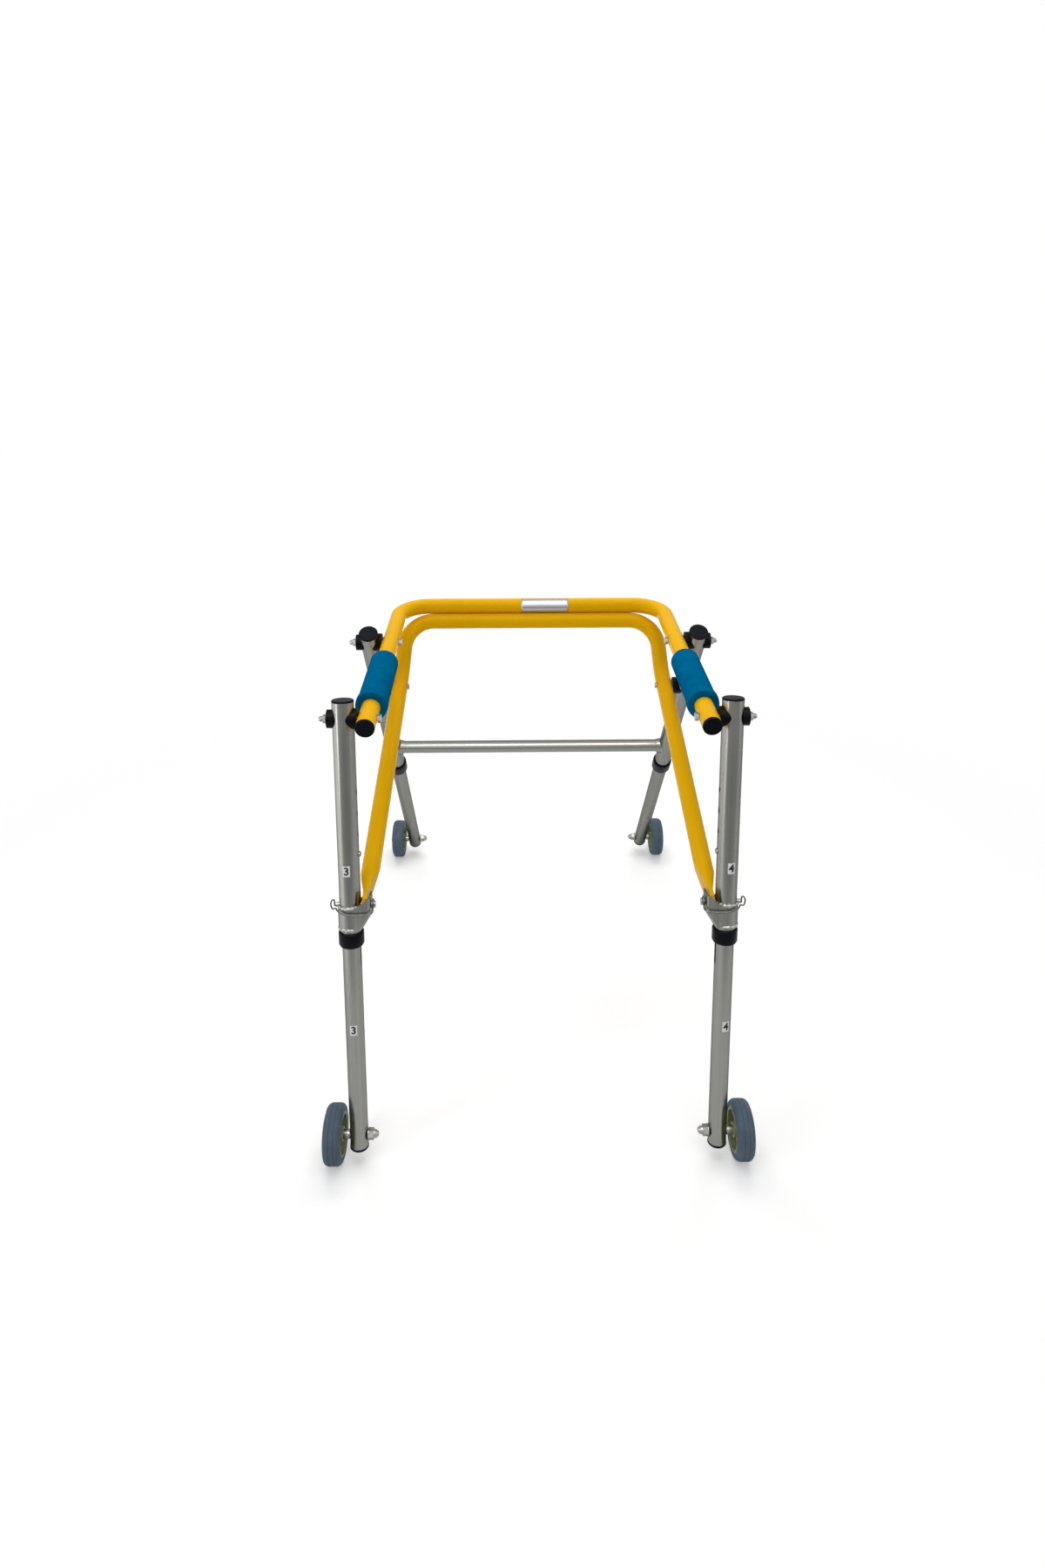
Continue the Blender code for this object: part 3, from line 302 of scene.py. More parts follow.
def curve_mesh(points, closed, **settings):
    """The closed mesh of a curve through the points, with its caps welded on."""
    curve = bpy.data.curves.new("shape", "CURVE")
    for setting, value in settings.items():
        setattr(curve, setting, value)
    spline = curve.splines.new("POLY")
    spline.points.add(len(points) - 1)
    for knot, point in zip(spline.points, points):
        knot.co = (*point, 1)
    spline.use_cyclic_u = closed
    bm = bmesh_of(curve)
    bmesh.ops.remove_doubles(bm, verts=bm.verts, dist=0.000001)
    bmesh.ops.recalc_face_normals(bm, faces=bm.faces)
    return mesh_object(bm)


def bent_rod(points, radius, sides):
    return curve_mesh(points, False, dimensions="3D", bevel_depth=radius, bevel_resolution=(sides - 4) // 2,
                      use_fill_caps=True)


def extruded(outline, thickness):
    """A flat outline in local XY, with its thickness shared above and below."""
    points = [(x, y, 0) for x, y in outline]
    return curve_mesh(points, True, dimensions="2D", fill_mode="BOTH", extrude=thickness / 2)


def rounded_route(corners, radii):
    """The corners joined by straight runs, each inner corner rounded by an arc of its radius."""
    points = [Vector(corners[0])]
    for before, corner, after, radius in zip(corners, corners[1:], corners[2:], radii):
        corner = Vector(corner)
        into = (corner - Vector(before)).normalized()
        out = (Vector(after) - corner).normalized()
        turn = into.angle(out)
        start = corner - into * radius * math.tan(turn / 2)
        inward = (out - into * into.dot(out)).normalized()
        centre = start + inward * radius
        count = max(3, round(turn / ARC_STEP))
        for i in range(count + 1):
            angle = turn * i / count
            points.append(centre - inward * radius * math.cos(angle) + into * radius * math.sin(angle))
    points.append(Vector(corners[-1]))
    return points


def smooth_route(knots, steps):
    """A smooth curve through the knots, with this many points to each knot."""
    padded = [2 * knots[0] - knots[1], *knots, 2 * knots[-1] - knots[-2]]
    points = []
    for a, b, c, d in zip(padded, padded[1:], padded[2:], padded[3:]):
        for i in range(steps):
            t = i / steps
            points.append(0.5 * (2 * b + (c - a) * t + (2 * a - 5 * b + 4 * c - d) * t * t
                                 + (3 * b - a - 3 * c + d) * t ** 3))
    points.append(knots[-1])
    return points


RAIL_TILT = math.atan2(RAIL_DIRECTION.z, RAIL_DIRECTION.y)
RAIL_FRAME = place(bpy.data.objects.new("rail_frame", None), None, FRONT_PIVOT, (RAIL_TILT, 0, 0))


def rail_at(x, reach=0.0, rotation=(0, 0, 0)):
    """A spot in the rail's own plane, this far back from the front pivot."""
    return RAIL_FRAME, (x, reach, 0), rotation


class Leg:
    """A leg in the frame of its top pivot. Heights on it are measured from its axle."""

    def __init__(self, end, side):
        self.end = end
        self.front = front = end == "front"
        self.side = side
        self.pivot = FRONT_PIVOT_HEIGHT if front else REAR_PIVOT_HEIGHT
        lean = FRONT_LEAN if front else -REAR_LEAN
        top = (FRONT_PIVOT if front else REAR_PIVOT) + Vector((side * LEG_X, 0, 0))
        self.frame = place(bpy.data.objects.new("leg_frame", None), None, top, (-lean, 0, 0))
        self.outward = (0, side * QUARTER, 0)
        self.inward = (0, -side * QUARTER, 0)
        # Turns a wheel's axis to X, and cancels the lean so that a flat of facets meets the floor
        self.upright = (Matrix.Rotation(lean, 3, "X") @ Matrix.Rotation(QUARTER, 3, "Y")).to_euler()

    def at(self, height, out=0.0, back=0.0, rotation=(0, 0, 0)):
        """A spot beside the leg: height above its axle, out to its own side, back to the rear."""
        return self.frame, (self.side * out, back, height - self.pivot), rotation


def make_rail():
    """The hand rail: one U-shaped tube in the rail's own plane."""
    end = -RAIL_OVERHANG
    corners = [(RAIL_X, end, 0), (RAIL_X, RAIL_REACH, 0), (-RAIL_X, RAIL_REACH, 0), (-RAIL_X, end, 0)]
    route = rounded_route(corners, (RAIL_BEND, RAIL_BEND))
    rail = make("top_rail", bent_rod(route, RAIL_R, SIDES), RAIL_FRAME)
    past = Vector((0, -0.004, 0))
    bore_route = [route[0] + past, *route[1:-1], route[-1] + past]
    cut(rail, bent_rod(bore_route, RAIL_R - RAIL_WALL, SIDES), RAIL_FRAME)
    for side in SIDE_NAMES:
        for reach in (0, PIVOT_SPAN):
            drill(rail, PIVOT_BORE, rail_at(side * RAIL_X, reach), RAIL_OD + 0.01)


def make_end_plug(name, side):
    """The flat black plug in a rail end: a cap as wide as the tube on a short stem."""
    cap, rim, stem = 0.0030, 0.0008, 0.012
    stem_r = RAIL_R - RAIL_WALL - FIT
    profile = [(0, cap), (RAIL_R - rim, cap), (RAIL_R, cap - rim), (RAIL_R, 0), (stem_r, 0),
               (stem_r, -stem), (0, -stem)]
    make(name, turned(profile), *rail_at(side * RAIL_X, -RAIL_OVERHANG - FIT, (QUARTER, 0, 0)))


def make_grip(name, side):
    """The foam grip: a sleeve with a rounded back end and a fuller lip at its front end."""
    bore = RAIL_R + FIT
    body = GRIP_OD / 2
    swell = (GRIP_LIP_OD - GRIP_OD) / 2
    round_end = 0.006
    tuck = 0.004                # the lip's front corner turns in by this
    lip_end = GRIP_LIP * 1.9    # from here back the grip is straight
    outline = [(bore, GRIP_LENGTH), (body - round_end, GRIP_LENGTH)]
    for angle in (QUARTER / 2, QUARTER):
        outline.append((body - round_end + round_end * math.sin(angle),
                        GRIP_LENGTH - round_end + round_end * math.cos(angle)))
    outline.append((body, lip_end))
    for i in range(6):
        angle = math.pi * i / 5
        outline.append((body + swell * math.sin(angle) - (tuck if i == 5 else 0),
                        GRIP_LIP * (1 + math.cos(angle)) / 2))
    outline.append((bore, 0))
    make(name, turned(outline, hollow=True), *rail_at(side * RAIL_X, GRIP_START, (-QUARTER, 0, 0)))


def make_pivot_bolt(name, side, reach):
    """A bolt through the rail and the leg: hex head inboard, hex nut and dome outboard."""
    head, nut, dome_r, lap = 0.0045, 0.0050, 0.0040, 0.0005
    inner = RAIL_X - RAIL_R - FIT
    outer = LEG_OUTER_FACE + WASHER_OUT + FIT
    bolt = rod(PIVOT_RADIUS, outer - inner + 2 * SHAFT_LAP)
    make(name, bolt, *rail_at(side * (inner + outer) / 2, reach))
    fuse(bolt, hexagon(HEX_PIVOT, head), *rail_at(side * (inner - head / 2), reach))
    fuse(bolt, hexagon(HEX_PIVOT, nut), *rail_at(side * (outer + nut / 2), reach))
    profile = [(0, 0.0065), (dome_r * 0.6, 0.0058), (dome_r * 0.95, 0.0035), (dome_r, 0), (0, 0)]
    dome = turned(profile, BORE_SIDES)
    fuse(bolt, dome, *rail_at(side * (outer + nut - lap), reach, (0, side * QUARTER, 0)))


def make_leg_spacer(name, leg, height, inner):
    """A black spacer on the inboard side of a leg: hollowed round the leg, flat to what turns on it."""
    outer = LEG_X - SADDLE_REACH
    disc = rod(SPACER_R, outer - inner, SIDES)
    make(name, disc, *leg.at(height, (outer + inner) / 2 - LEG_X))
    cut(disc, cylinder(UPPER_R + FIT, 0.08), *leg.at(height))
    drill(disc, PIVOT_BORE, leg.at(height, inner - LEG_X))


def make_leg_washer(name, leg):
    """The black washer under an outboard nut, hollowed round the leg that it turns with."""
    radius, wings = 0.0122, 0.0036    # its wings reach this far round the leg
    outer = UPPER_R + WASHER_OUT
    inner = UPPER_R - wings
    disc = rod(radius, outer - inner, SIDES)
    make(name, disc, *leg.at(leg.pivot, (outer + inner) / 2))
    cut(disc, cylinder(UPPER_R + FIT, 0.06), *leg.at(leg.pivot))
    drill(disc, PIVOT_BORE, leg.at(leg.pivot, outer), 0.03)


def round_cheeks(mesh, cheek_face):
    """Rounds the bracket's bends, where its cheeks turn into the web and into the slanted lower edge."""
    near, bend_radius = 0.0001, 0.0036
    bm = bmesh.new()
    bm.from_mesh(mesh)
    bmesh.ops.dissolve_limit(bm, angle_limit=0.01, verts=bm.verts, edges=bm.edges)
    bends = []
    for edge in bm.edges:
        a, b = [vertex.co for vertex in edge.verts]
        on_cheek = abs(a.z - b.z) < near and abs(abs(a.z) - cheek_face) < near
        outward = max(abs(a.x), abs(b.x)) > WEB_OUT - near
        if on_cheek and outward and abs(a.y - b.y) > 0.001:
            bends.append(edge)
    bmesh.ops.bevel(bm, geom=bends, offset=bend_radius, offset_type="OFFSET", segments=5, profile=0.5,
                    affect="EDGES")
    bmesh.ops.recalc_face_normals(bm, faces=bm.faces)
    bm.to_mesh(mesh)
    bm.free()


def make_front_upper(name, leg):
    """The upper front leg tube with the brace bracket that is welded on above the collar."""
    pin = BRACE_PIN_HEIGHT
    low = FRONT_COLLAR_HEIGHT + TUBE_SEAT
    middle = (FRONT_LEG + low) / 2
    tube = make(name, cylinder(UPPER_R, FRONT_LEG - low), *leg.at(middle))
    fuse(tube, cylinder(SLEEVE_R, SLEEVE_TOP - SLEEVE_LOW), *leg.at(pin + (SLEEVE_LOW + SLEEVE_TOP) / 2))
    web_low, web_top, ear_depth = -0.0110, 0.0140, 0.0042
    outline = [(0, SLEEVE_LOW + 0.0004), (SLEEVE_R + 0.0003, SLEEVE_LOW + 0.0008), (WEB_OUT, web_low),
               (WEB_OUT, web_top), (WEB_OUT - ear_depth, web_top), (UPPER_R * 0.90, 0.0026), (0, 0.0010)]
    cheek, cheek_thickness = SLEEVE_R - 0.0003, 0.0013
    ear = extruded([(-leg.side * x, z) for x, z in outline], 2 * cheek)
    round_cheeks(ear.data, cheek)
    fuse(tube, ear, *leg.at(pin, rotation=(QUARTER, 0, 0)))
    # The hollow for the blade, between the leg, both cheeks and the web
    reach, hollow_low, hollow_height = WEB_OUT - WEB_THICKNESS, -0.0160, 0.060
    hollow = box((reach, 2 * (cheek - cheek_thickness), hollow_height))
    cut(hollow, cylinder(UPPER_R + FIT, 0.2), *leg.at(pin))
    cut(tube, hollow, *leg.at(pin + hollow_low + hollow_height / 2, -reach / 2))
    # The back cheek is open from this far below the pin upwards, where the arm leaves
    open_low, open_size = -0.0085, (0.030, 0.020, 0.050)
    opening = box(open_size)
    cut(opening, cylinder(UPPER_R + 2 * FIT, 0.2), *leg.at(pin))
    cut(tube, opening, *leg.at(pin + open_low + open_size[2] / 2, -UPPER_R - 0.0155, UPPER_R + 0.006))
    cut(tube, cylinder(UPPER_BORE, FRONT_LEG - low + 0.02), *leg.at(middle))
    drill(tube, PIN_RADIUS + RUNNING, leg.at(pin), 0.12, 16)
    drill(tube, PIVOT_BORE, leg.at(leg.pivot), sides=16)
    for i in range(HOLE_COUNT):
        drill(tube, HOLE_RADIUS, leg.at(FRONT_BUTTON_HEIGHT + i * HOLE_PITCH, -UPPER_R), 0.012, 16)


def make_rear_frame(legs):
    """Both upper rear leg tubes and the crossbar between them: one welded piece."""
    low = REAR_COLLAR_HEIGHT + TUBE_SEAT
    length = REAR_LEG - low
    radius = CROSSBAR_OD / 2
    end = LEG_X - WELD_LAP
    flared = LEG_INNER_FACE + 0.0010
    straight = LEG_INNER_FACE - 0.0070
    flare_r = radius + 0.0022
    half = [(0, end), (flare_r, end), (flare_r, flared), (radius, straight)]
    bar = turned(mirrored(half))
    make("rear_frame", bar, *legs[0].at(CROSSBAR_HEIGHT, -LEG_X, 0, (0, QUARTER, 0)))
    for leg in legs:
        fuse(bar, cylinder(UPPER_R, length), *leg.at(low + length / 2))
    for leg in legs:
        cut(bar, cylinder(UPPER_BORE, length + 0.02), *leg.at(low + length / 2))
        for height in (leg.pivot, BRACE_CROSS_HEIGHT):
            drill(bar, PIVOT_BORE, leg.at(height))
        for i in range(1, HOLE_COUNT):
            hole = cylinder(HOLE_RADIUS, 0.012, BORE_SIDES)
            cut(bar, hole, *leg.at(REAR_BUTTON_HEIGHT + i * HOLE_PITCH, 0, UPPER_R, (QUARTER, 0, 0)))
        stud = cylinder(BUTTON_RADIUS, UPPER_WALL + BUTTON_PROUD - FIT, BORE_SIDES)
        middle = UPPER_R + (BUTTON_PROUD - UPPER_WALL + FIT) / 2
        fuse(bar, stud, *leg.at(REAR_BUTTON_HEIGHT, 0, middle, (QUARTER, 0, 0)))


def make_cap(name, leg, top):
    """The flat black cap on the top of a leg, on a short stem."""
    stem_r, rim = UPPER_BORE - FIT, UPPER_R + 0.0002
    profile = [(0, 0.0026), (UPPER_R - 0.0010, 0.0024), (rim, 0.0012), (rim, 0), (stem_r, 0),
               (stem_r, -0.008), (0, -0.008)]
    make(name, turned(profile), *leg.at(top + FIT))


def make_collar(name, leg, low, length):
    """The black collar at the foot of an upper tube; its lip guides the lower tube."""
    outer, inner, guide, lip = UPPER_R + 0.0027, UPPER_R + FIT, LOWER_R + FIT, 0.0026
    profile = [(inner, length), (outer - 0.0010, length), (outer, length - 0.0012), (outer, 0.0030),
               (outer - 0.0016, 0), (guide, 0), (guide, lip), (inner, lip)]
    make(name, turned(profile, hollow=True), *leg.at(low))


def make_lower_tube(name, leg, button):
    """A lower leg tube with its axle hole and lock hole, and in front the slot that clears the brace pin."""
    bottom, top = -FOOT_OVERHANG, button + LOWER_TUBE_LAP
    bore = LOWER_R - LOWER_WALL
    tube = turned([(LOWER_R, top), (LOWER_R, bottom), (bore, bottom), (bore, top)], hollow=True)
    make(name, tube, *leg.at(0))
    drill(tube, AXLE_RADIUS + RUNNING, leg.at(0))
    hole = cylinder(HOLE_RADIUS + FIT, 0.012, BORE_SIDES)
    if not leg.front:
        cut(tube, hole, *leg.at(button, 0, LOWER_R, (QUARTER, 0, 0)))
        return
    cut(tube, hole, *leg.at(button, -LOWER_R, 0, (0, QUARTER, 0)))
    cut(tube, box((0.05, 2 * HOLE_RADIUS, HEIGHT_RANGE)), *leg.at(BRACE_PIN_HEIGHT - HEIGHT_RANGE / 2))
    for height in (BRACE_PIN_HEIGHT, BRACE_PIN_HEIGHT - HEIGHT_RANGE):
        drill(tube, HOLE_RADIUS, leg.at(height))


def make_foot_plug(name, leg):
    """The black plug in the foot of a lower tube."""
    stem_r, rim = LOWER_R - LOWER_WALL - FIT, LOWER_R + 0.0004
    profile = [(0, 0.0070), (stem_r, 0.0070), (stem_r, 0), (rim, 0), (rim, -0.0020),
               (LOWER_R - 0.0012, -0.0040), (0, -0.0040)]
    make(name, turned(profile), *leg.at(-FOOT_OVERHANG - FIT))


def make_axle(name, leg):
    """The axle bolt: hex head outboard, distance sleeve, hex nut and dome inboard."""
    head, nut, disc, lap = 0.0050, 0.0065, 0.0014, 0.0006
    sleeve_r, disc_r = 0.0065, HEX_AXLE * 0.62
    tube_face = LOWER_R + FIT
    hub_face = LOWER_R + WHEEL_GAP + BOSS_INSET - FIT
    head_face = LOWER_R + WHEEL_GAP + TYRE_WIDTH - BOSS_INSET + FIT
    shaft = rod(AXLE_RADIUS, head_face + tube_face + 2 * SHAFT_LAP)
    make(name, shaft, *leg.at(0, (head_face - tube_face) / 2))
    sleeve = rod(sleeve_r, hub_face - tube_face)
    washer = rod(disc_r, disc)
    fuse(shaft, sleeve, *leg.at(0, (hub_face + tube_face) / 2))
    fuse(shaft, hexagon(HEX_AXLE, head), *leg.at(0, head_face + head / 2))
    fuse(shaft, washer, *leg.at(0, -tube_face - disc / 2))
    fuse(shaft, hexagon(HEX_AXLE, nut), *leg.at(0, -tube_face - disc * 0.9 - nut / 2))
    dome = turned([(0, 0.0078), (0.0034, 0.0068), (0.0054, 0.0040), (0.0060, 0), (0, 0)], BORE_SIDES)
    fuse(shaft, dome, *leg.at(0, -tube_face - disc - nut + lap, 0, leg.inward))


def make_tyre(name, leg):
    """The solid tyre: a flat tread with two fine grooves and well rounded shoulders."""
    half, seat, crown = TYRE_WIDTH / 2, TYRE_SEAT_OD / 2 + FIT, WHEEL_R
    groove, groove_half, floor = 0.0034, 0.0004, WHEEL_R - 0.0006
    shoulder = [(crown - 0.0070, half), (crown - 0.0035, half - 0.0010), (crown - 0.0014, half - 0.0030),
                (crown - 0.0004, half - 0.0050), (crown, half - 0.0070)]
    cut_in = [(crown, groove + groove_half), (floor, groove + groove_half * 0.6),
              (floor, groove - groove_half * 0.6), (crown, groove - groove_half)]
    tyre = turned(mirrored([(seat, half), *shoulder, *cut_in]), 96, hollow=True)
    make(name, tyre, *leg.at(0, WHEEL_OUT, 0, leg.upright))


def sector(inner, outer, half_angle, steps=8):
    """The outline of a hub pocket: a stretch of ring between two spokes."""
    angles = [half_angle * (2 * i / steps - 1) for i in range(steps + 1)]
    arc_out = [(outer * math.cos(a), outer * math.sin(a)) for a in angles]
    return arc_out + [(inner * math.cos(a), inner * math.sin(a)) for a in reversed(angles)]


def make_hub(name, leg):
    """The moulded hub: rim, web with pockets between its spokes, and the bearing boss."""
    seat, boss, bore = TYRE_SEAT_OD / 2, HUB_BOSS_OD / 2, AXLE_RADIUS + RUNNING
    boss_half = TYRE_WIDTH / 2 - BOSS_INSET
    rim_half = TYRE_WIDTH / 2 - 0.0006
    rim = seat - 0.0040         # inner face of the rim
    web = HUB_WEB / 2 + 0.003   # half the thickness of the web beside its pockets
    cutter, half_spoke = 0.0060, 0.14   # height of a pocket's cutter, and an angle
    upper_half = [(bore, boss_half), (boss, boss_half), (boss, web), (rim, web), (rim, rim_half),
                  (seat, rim_half)]
    spot = leg.at(0, WHEEL_OUT, 0, leg.upright)
    hub = make(name, turned(mirrored(upper_half), hollow=True), *spot)
    outline = sector(boss + 0.0020, rim - 0.0015, math.pi / POCKETS - half_spoke)
    for i in range(POCKETS):
        for face in (1, -1):
            pocket = extruded(outline, cutter)
            clock = Matrix.Rotation(2 * math.pi * i / POCKETS, 4, "Z")
            pocket.data.transform(clock @ Matrix.Translation((0, 0, face * (web + 0.0005))))
            cut(hub, pocket, *spot)


def make_button(name, leg, height):
    """The sprung button that stands in a lock hole on the inboard side."""
    foot = UPPER_BORE + FIT
    tall = UPPER_R + BUTTON_PROUD - foot
    profile = [(0, tall), (BUTTON_RADIUS * 0.6, tall - 0.0004), (BUTTON_RADIUS, tall - 0.0016),
               (BUTTON_RADIUS, 0), (0, 0)]
    make(name, turned(profile, BORE_SIDES), *leg.at(height, -foot, 0, leg.inward))


def make_lock_pin(name, leg):
    """The brace pin: head inboard against the web, shaft through blade and leg, tip outboard."""
    face = WEB_OUT + FIT
    tip = SLEEVE_R + PIN_TIP
    head = leg.at(BRACE_PIN_HEIGHT, -face - PIN_HEAD / 2)
    pin = rod(PIN_RADIUS, face + SHAFT_LAP + tip)
    make(name, pin, *leg.at(BRACE_PIN_HEIGHT, (tip - face - SHAFT_LAP) / 2))
    fuse(pin, rod(PIN_HEAD_R, PIN_HEAD), *head)
    cut(pin, cylinder(BAIL_WIRE / 2 + FIT, 0.03, 12), *head)


def make_bail(name, leg):
    """The wire that keeps the pin in: an eye on its head, a strand round the leg, a loop over its tip.

    It turns about the hole through the head, so its origin is there.
    """
    head_x = -(WEB_OUT + FIT + PIN_HEAD / 2)
    ring = PIN_HEAD_R + BAIL_WIRE / 2 + 0.0012
    around = SLEEVE_R + BAIL_WIRE / 2 + 0.0016
    loop = SLEEVE_R + PIN_TIP - head_x + BAIL_WIRE / 2 + 0.0004
    # Each knot runs out, back and up from the middle of the pin's head
    knots = [(0, 0, 0.0028), (0, 0, ring), (0, -0.55 * ring, 0.92 * ring), (0, -ring, 0.35 * ring),
             (0, -1.08 * ring, -0.35 * ring), (0, -1.5 * ring, -0.8 * ring), (0, -2.2 * ring, -0.0048)]
    knots += [(0.0022, -around, -0.0056), (0.0120, -around - 0.0004, -0.0068),
              (0.0220, -around - 0.0004, -0.0070)]
    for angle, dip in ((-90, -0.0066), (-65, -0.0056), (-40, -0.0042), (-15, -0.0034)):
        turn = math.radians(angle)
        knots.append((around * math.cos(turn) - head_x, around * math.sin(turn), dip))
    knots += [(loop + 0.0022, -0.0010, -0.0062), (loop + 0.0046, 0, -0.0030), (loop + 0.0050, 0, 0.0018),
              (loop + 0.0032, 0, 0.0058), (loop + 0.0006, 0, 0.0062), (loop, 0, 0.0030), (loop, 0, -0.0022)]
    route = smooth_route([Vector((leg.side * x, y, z)) for x, y, z in knots], 6)
    make(name, bent_rod(route, BAIL_WIRE / 2, 12), *leg.at(BRACE_PIN_HEIGHT, head_x))


def make_brace():
    """The lower U: two arms that cross the rear legs and a bar that nests below the rail's bar."""
    kink = BRACE_CROSS + BRACE_DIRECTION * BRACE_BEND_AFTER
    arm = []
    for x, point in ((BRACE_TRACK_PIN / 2, BRACE_PIN), (BRACE_X - BRACE_FLARE * BRACE_BEND_AFTER, kink),
                     (BRACE_TRACK_BAR / 2, BRACE_BAR)):
        arm.append(Vector((x, point.y, point.z)))
    corners = arm + [Vector((-corner.x, corner.y, corner.z)) for corner in reversed(arm)]
    route = rounded_route(corners, (BRACE_KINK_RADIUS, RAIL_BEND, RAIL_BEND, BRACE_KINK_RADIUS))
    brace = make("lower_brace", bent_rod(route, RAIL_R, SIDES))
    solid_end = BLADE_TAPER + 0.020
    first = route[0] + (route[1] - route[0]).normalized() * solid_end
    last = route[-1] + (route[-2] - route[-1]).normalized() * solid_end
    cut(brace, bent_rod([first, *route[1:-1], last], RAIL_R - RAIL_WALL, BORE_SIDES))
    for side in SIDE_NAMES:
        shape_blade(brace, side)
        drill(brace, PIVOT_BORE, (None, (side * BRACE_X, BRACE_CROSS.y, BRACE_CROSS.z)))


def shape_blade(brace, side):
    """Flatten an arm's end to a blade beside the leg, with a round tip and a roomy pin hole."""
    slope = math.atan2(BRACE_DIRECTION.z, BRACE_DIRECTION.y)
    cover, start, middle = 0.04, 0.012, BRACE_TRACK_PIN / 2
    end = start + BLADE_TAPER
    for face, sign in ((BLADE_OUTER, 1), (BLADE_INNER, -1)):
        full = middle + sign * (RAIL_R + 0.0015)
        far = middle + sign * cover
        wedge = [(full, end), (face, start), (face, -cover), (far, -cover), (far, end)]
        cut(brace, extruded([(side * x, y) for x, y in wedge], 0.05), None, BRACE_PIN, (slope, 0, 0))
    tip = (None, (side * (BLADE_OUTER + BLADE_INNER) / 2, BRACE_PIN.y, BRACE_PIN.z))
    fuse(brace, rod(BLADE_RADIUS, BLADE_THICKNESS, SIDES), *tip)
    drill(brace, PIN_RADIUS + FOLD_PLAY + RUNNING, tip, 0.03, SIDES)


def make_cross_bolt(name, leg):
    """The bolt of the crossing pivot: low round head on the brace, nut outboard of the leg."""
    head, nut = 0.0026, 0.0050
    inner = BRACE_X - RAIL_R - FIT - 0.0004 - LEG_X
    outer = UPPER_R + FIT
    height = BRACE_CROSS_HEIGHT
    bolt = rod(PIVOT_RADIUS, outer - inner + 2 * SHAFT_LAP)
    make(name, bolt, *leg.at(height, (outer + inner) / 2))
    rivet = turned([(0, head), (0.0034, head * 0.8), (0.0052, head * 0.3), (0.0054, 0), (0, 0)], BORE_SIDES)
    fuse(bolt, rivet, *leg.at(height, inner, 0, leg.inward))
    fuse(bolt, hexagon(HEX_PIVOT, nut), *leg.at(height, outer + nut / 2))


def make_leg(hand, leg):
    """All the pieces of one leg, but for the rear legs' upper tubes."""
    front, end = leg.front, leg.end
    button = FRONT_BUTTON_HEIGHT if front else REAR_BUTTON_HEIGHT
    if front:
        make_front_upper(f"front_upper_leg_{hand}", leg)
    make_leg_spacer(f"{end}_spacer_{hand}", leg, leg.pivot, RAIL_X + RAIL_R + FIT)
    if not front:
        inner = BRACE_X + RAIL_R + BRACE_FLARE * SPACER_R + FIT
        make_leg_spacer(f"cross_spacer_{hand}", leg, BRACE_CROSS_HEIGHT, inner)
    make_leg_washer(f"{end}_washer_{hand}", leg)
    make_cap(f"{end}_leg_cap_{hand}", leg, FRONT_LEG if front else REAR_LEG)
    if front:
        make_collar(f"front_collar_{hand}", leg, FRONT_COLLAR_HEIGHT, FRONT_COLLAR_LENGTH)
    else:
        make_collar(f"rear_collar_{hand}", leg, REAR_COLLAR_HEIGHT, REAR_COLLAR_LENGTH)
    make_lower_tube(f"{end}_lower_leg_{hand}", leg, button)
    make_foot_plug(f"{end}_foot_plug_{hand}", leg)
    if front:
        make_button(f"lock_button_{hand}", leg, button)
        make_lock_pin(f"brace_pin_{hand}", leg)
        make_bail(f"pin_bail_{hand}", leg)
    make_axle(f"axle_bolt_{end}_{hand}", leg)
    make_hub(f"wheel_hub_{end}_{hand}", leg)
    make_tyre(f"tyre_{end}_{hand}", leg)


rear_legs = [Leg("rear", side) for side in SIDE_NAMES]
make_rail()
make_brace()
make_rear_frame(rear_legs)
for rear_leg in rear_legs:
    side = rear_leg.side
    hand = SIDE_NAMES[side]
    make_end_plug(f"rail_end_plug_{hand}", side)
    make_grip(f"foam_grip_{hand}", side)
    make_pivot_bolt(f"front_pivot_bolt_{hand}", side, 0)
    make_pivot_bolt(f"rear_pivot_bolt_{hand}", side, PIVOT_SPAN)
    make_cross_bolt(f"cross_bolt_{hand}", rear_leg)
    make_leg(hand, Leg("front", side))
    make_leg(hand, rear_leg)


# Materials: every one is procedural and works in the object's own coordinates


def add_node(tree, kind, inputs, **settings):
    """A new shader node. Each input takes a value, or the socket that is linked to it."""
    node = tree.nodes.new("ShaderNode" + kind)
    for setting, value in settings.items():
        setattr(node, setting, value)
    for name, value in inputs.items():
        if isinstance(value, bpy.types.NodeSocket):
            tree.links.new(value, node.inputs[name])
        else:
            node.inputs[name].default_value = value
    return node


def spread(tree, value, low, high, start=0.0, end=1.0, curve="LINEAR"):
    """Maps start to end onto low to high."""
    inputs = {"Value": value, "From Min": start, "From Max": end, "To Min": low, "To Max": high}
    return add_node(tree, "MapRange", inputs, interpolation_type=curve).outputs["Result"]


FINISHES = {}


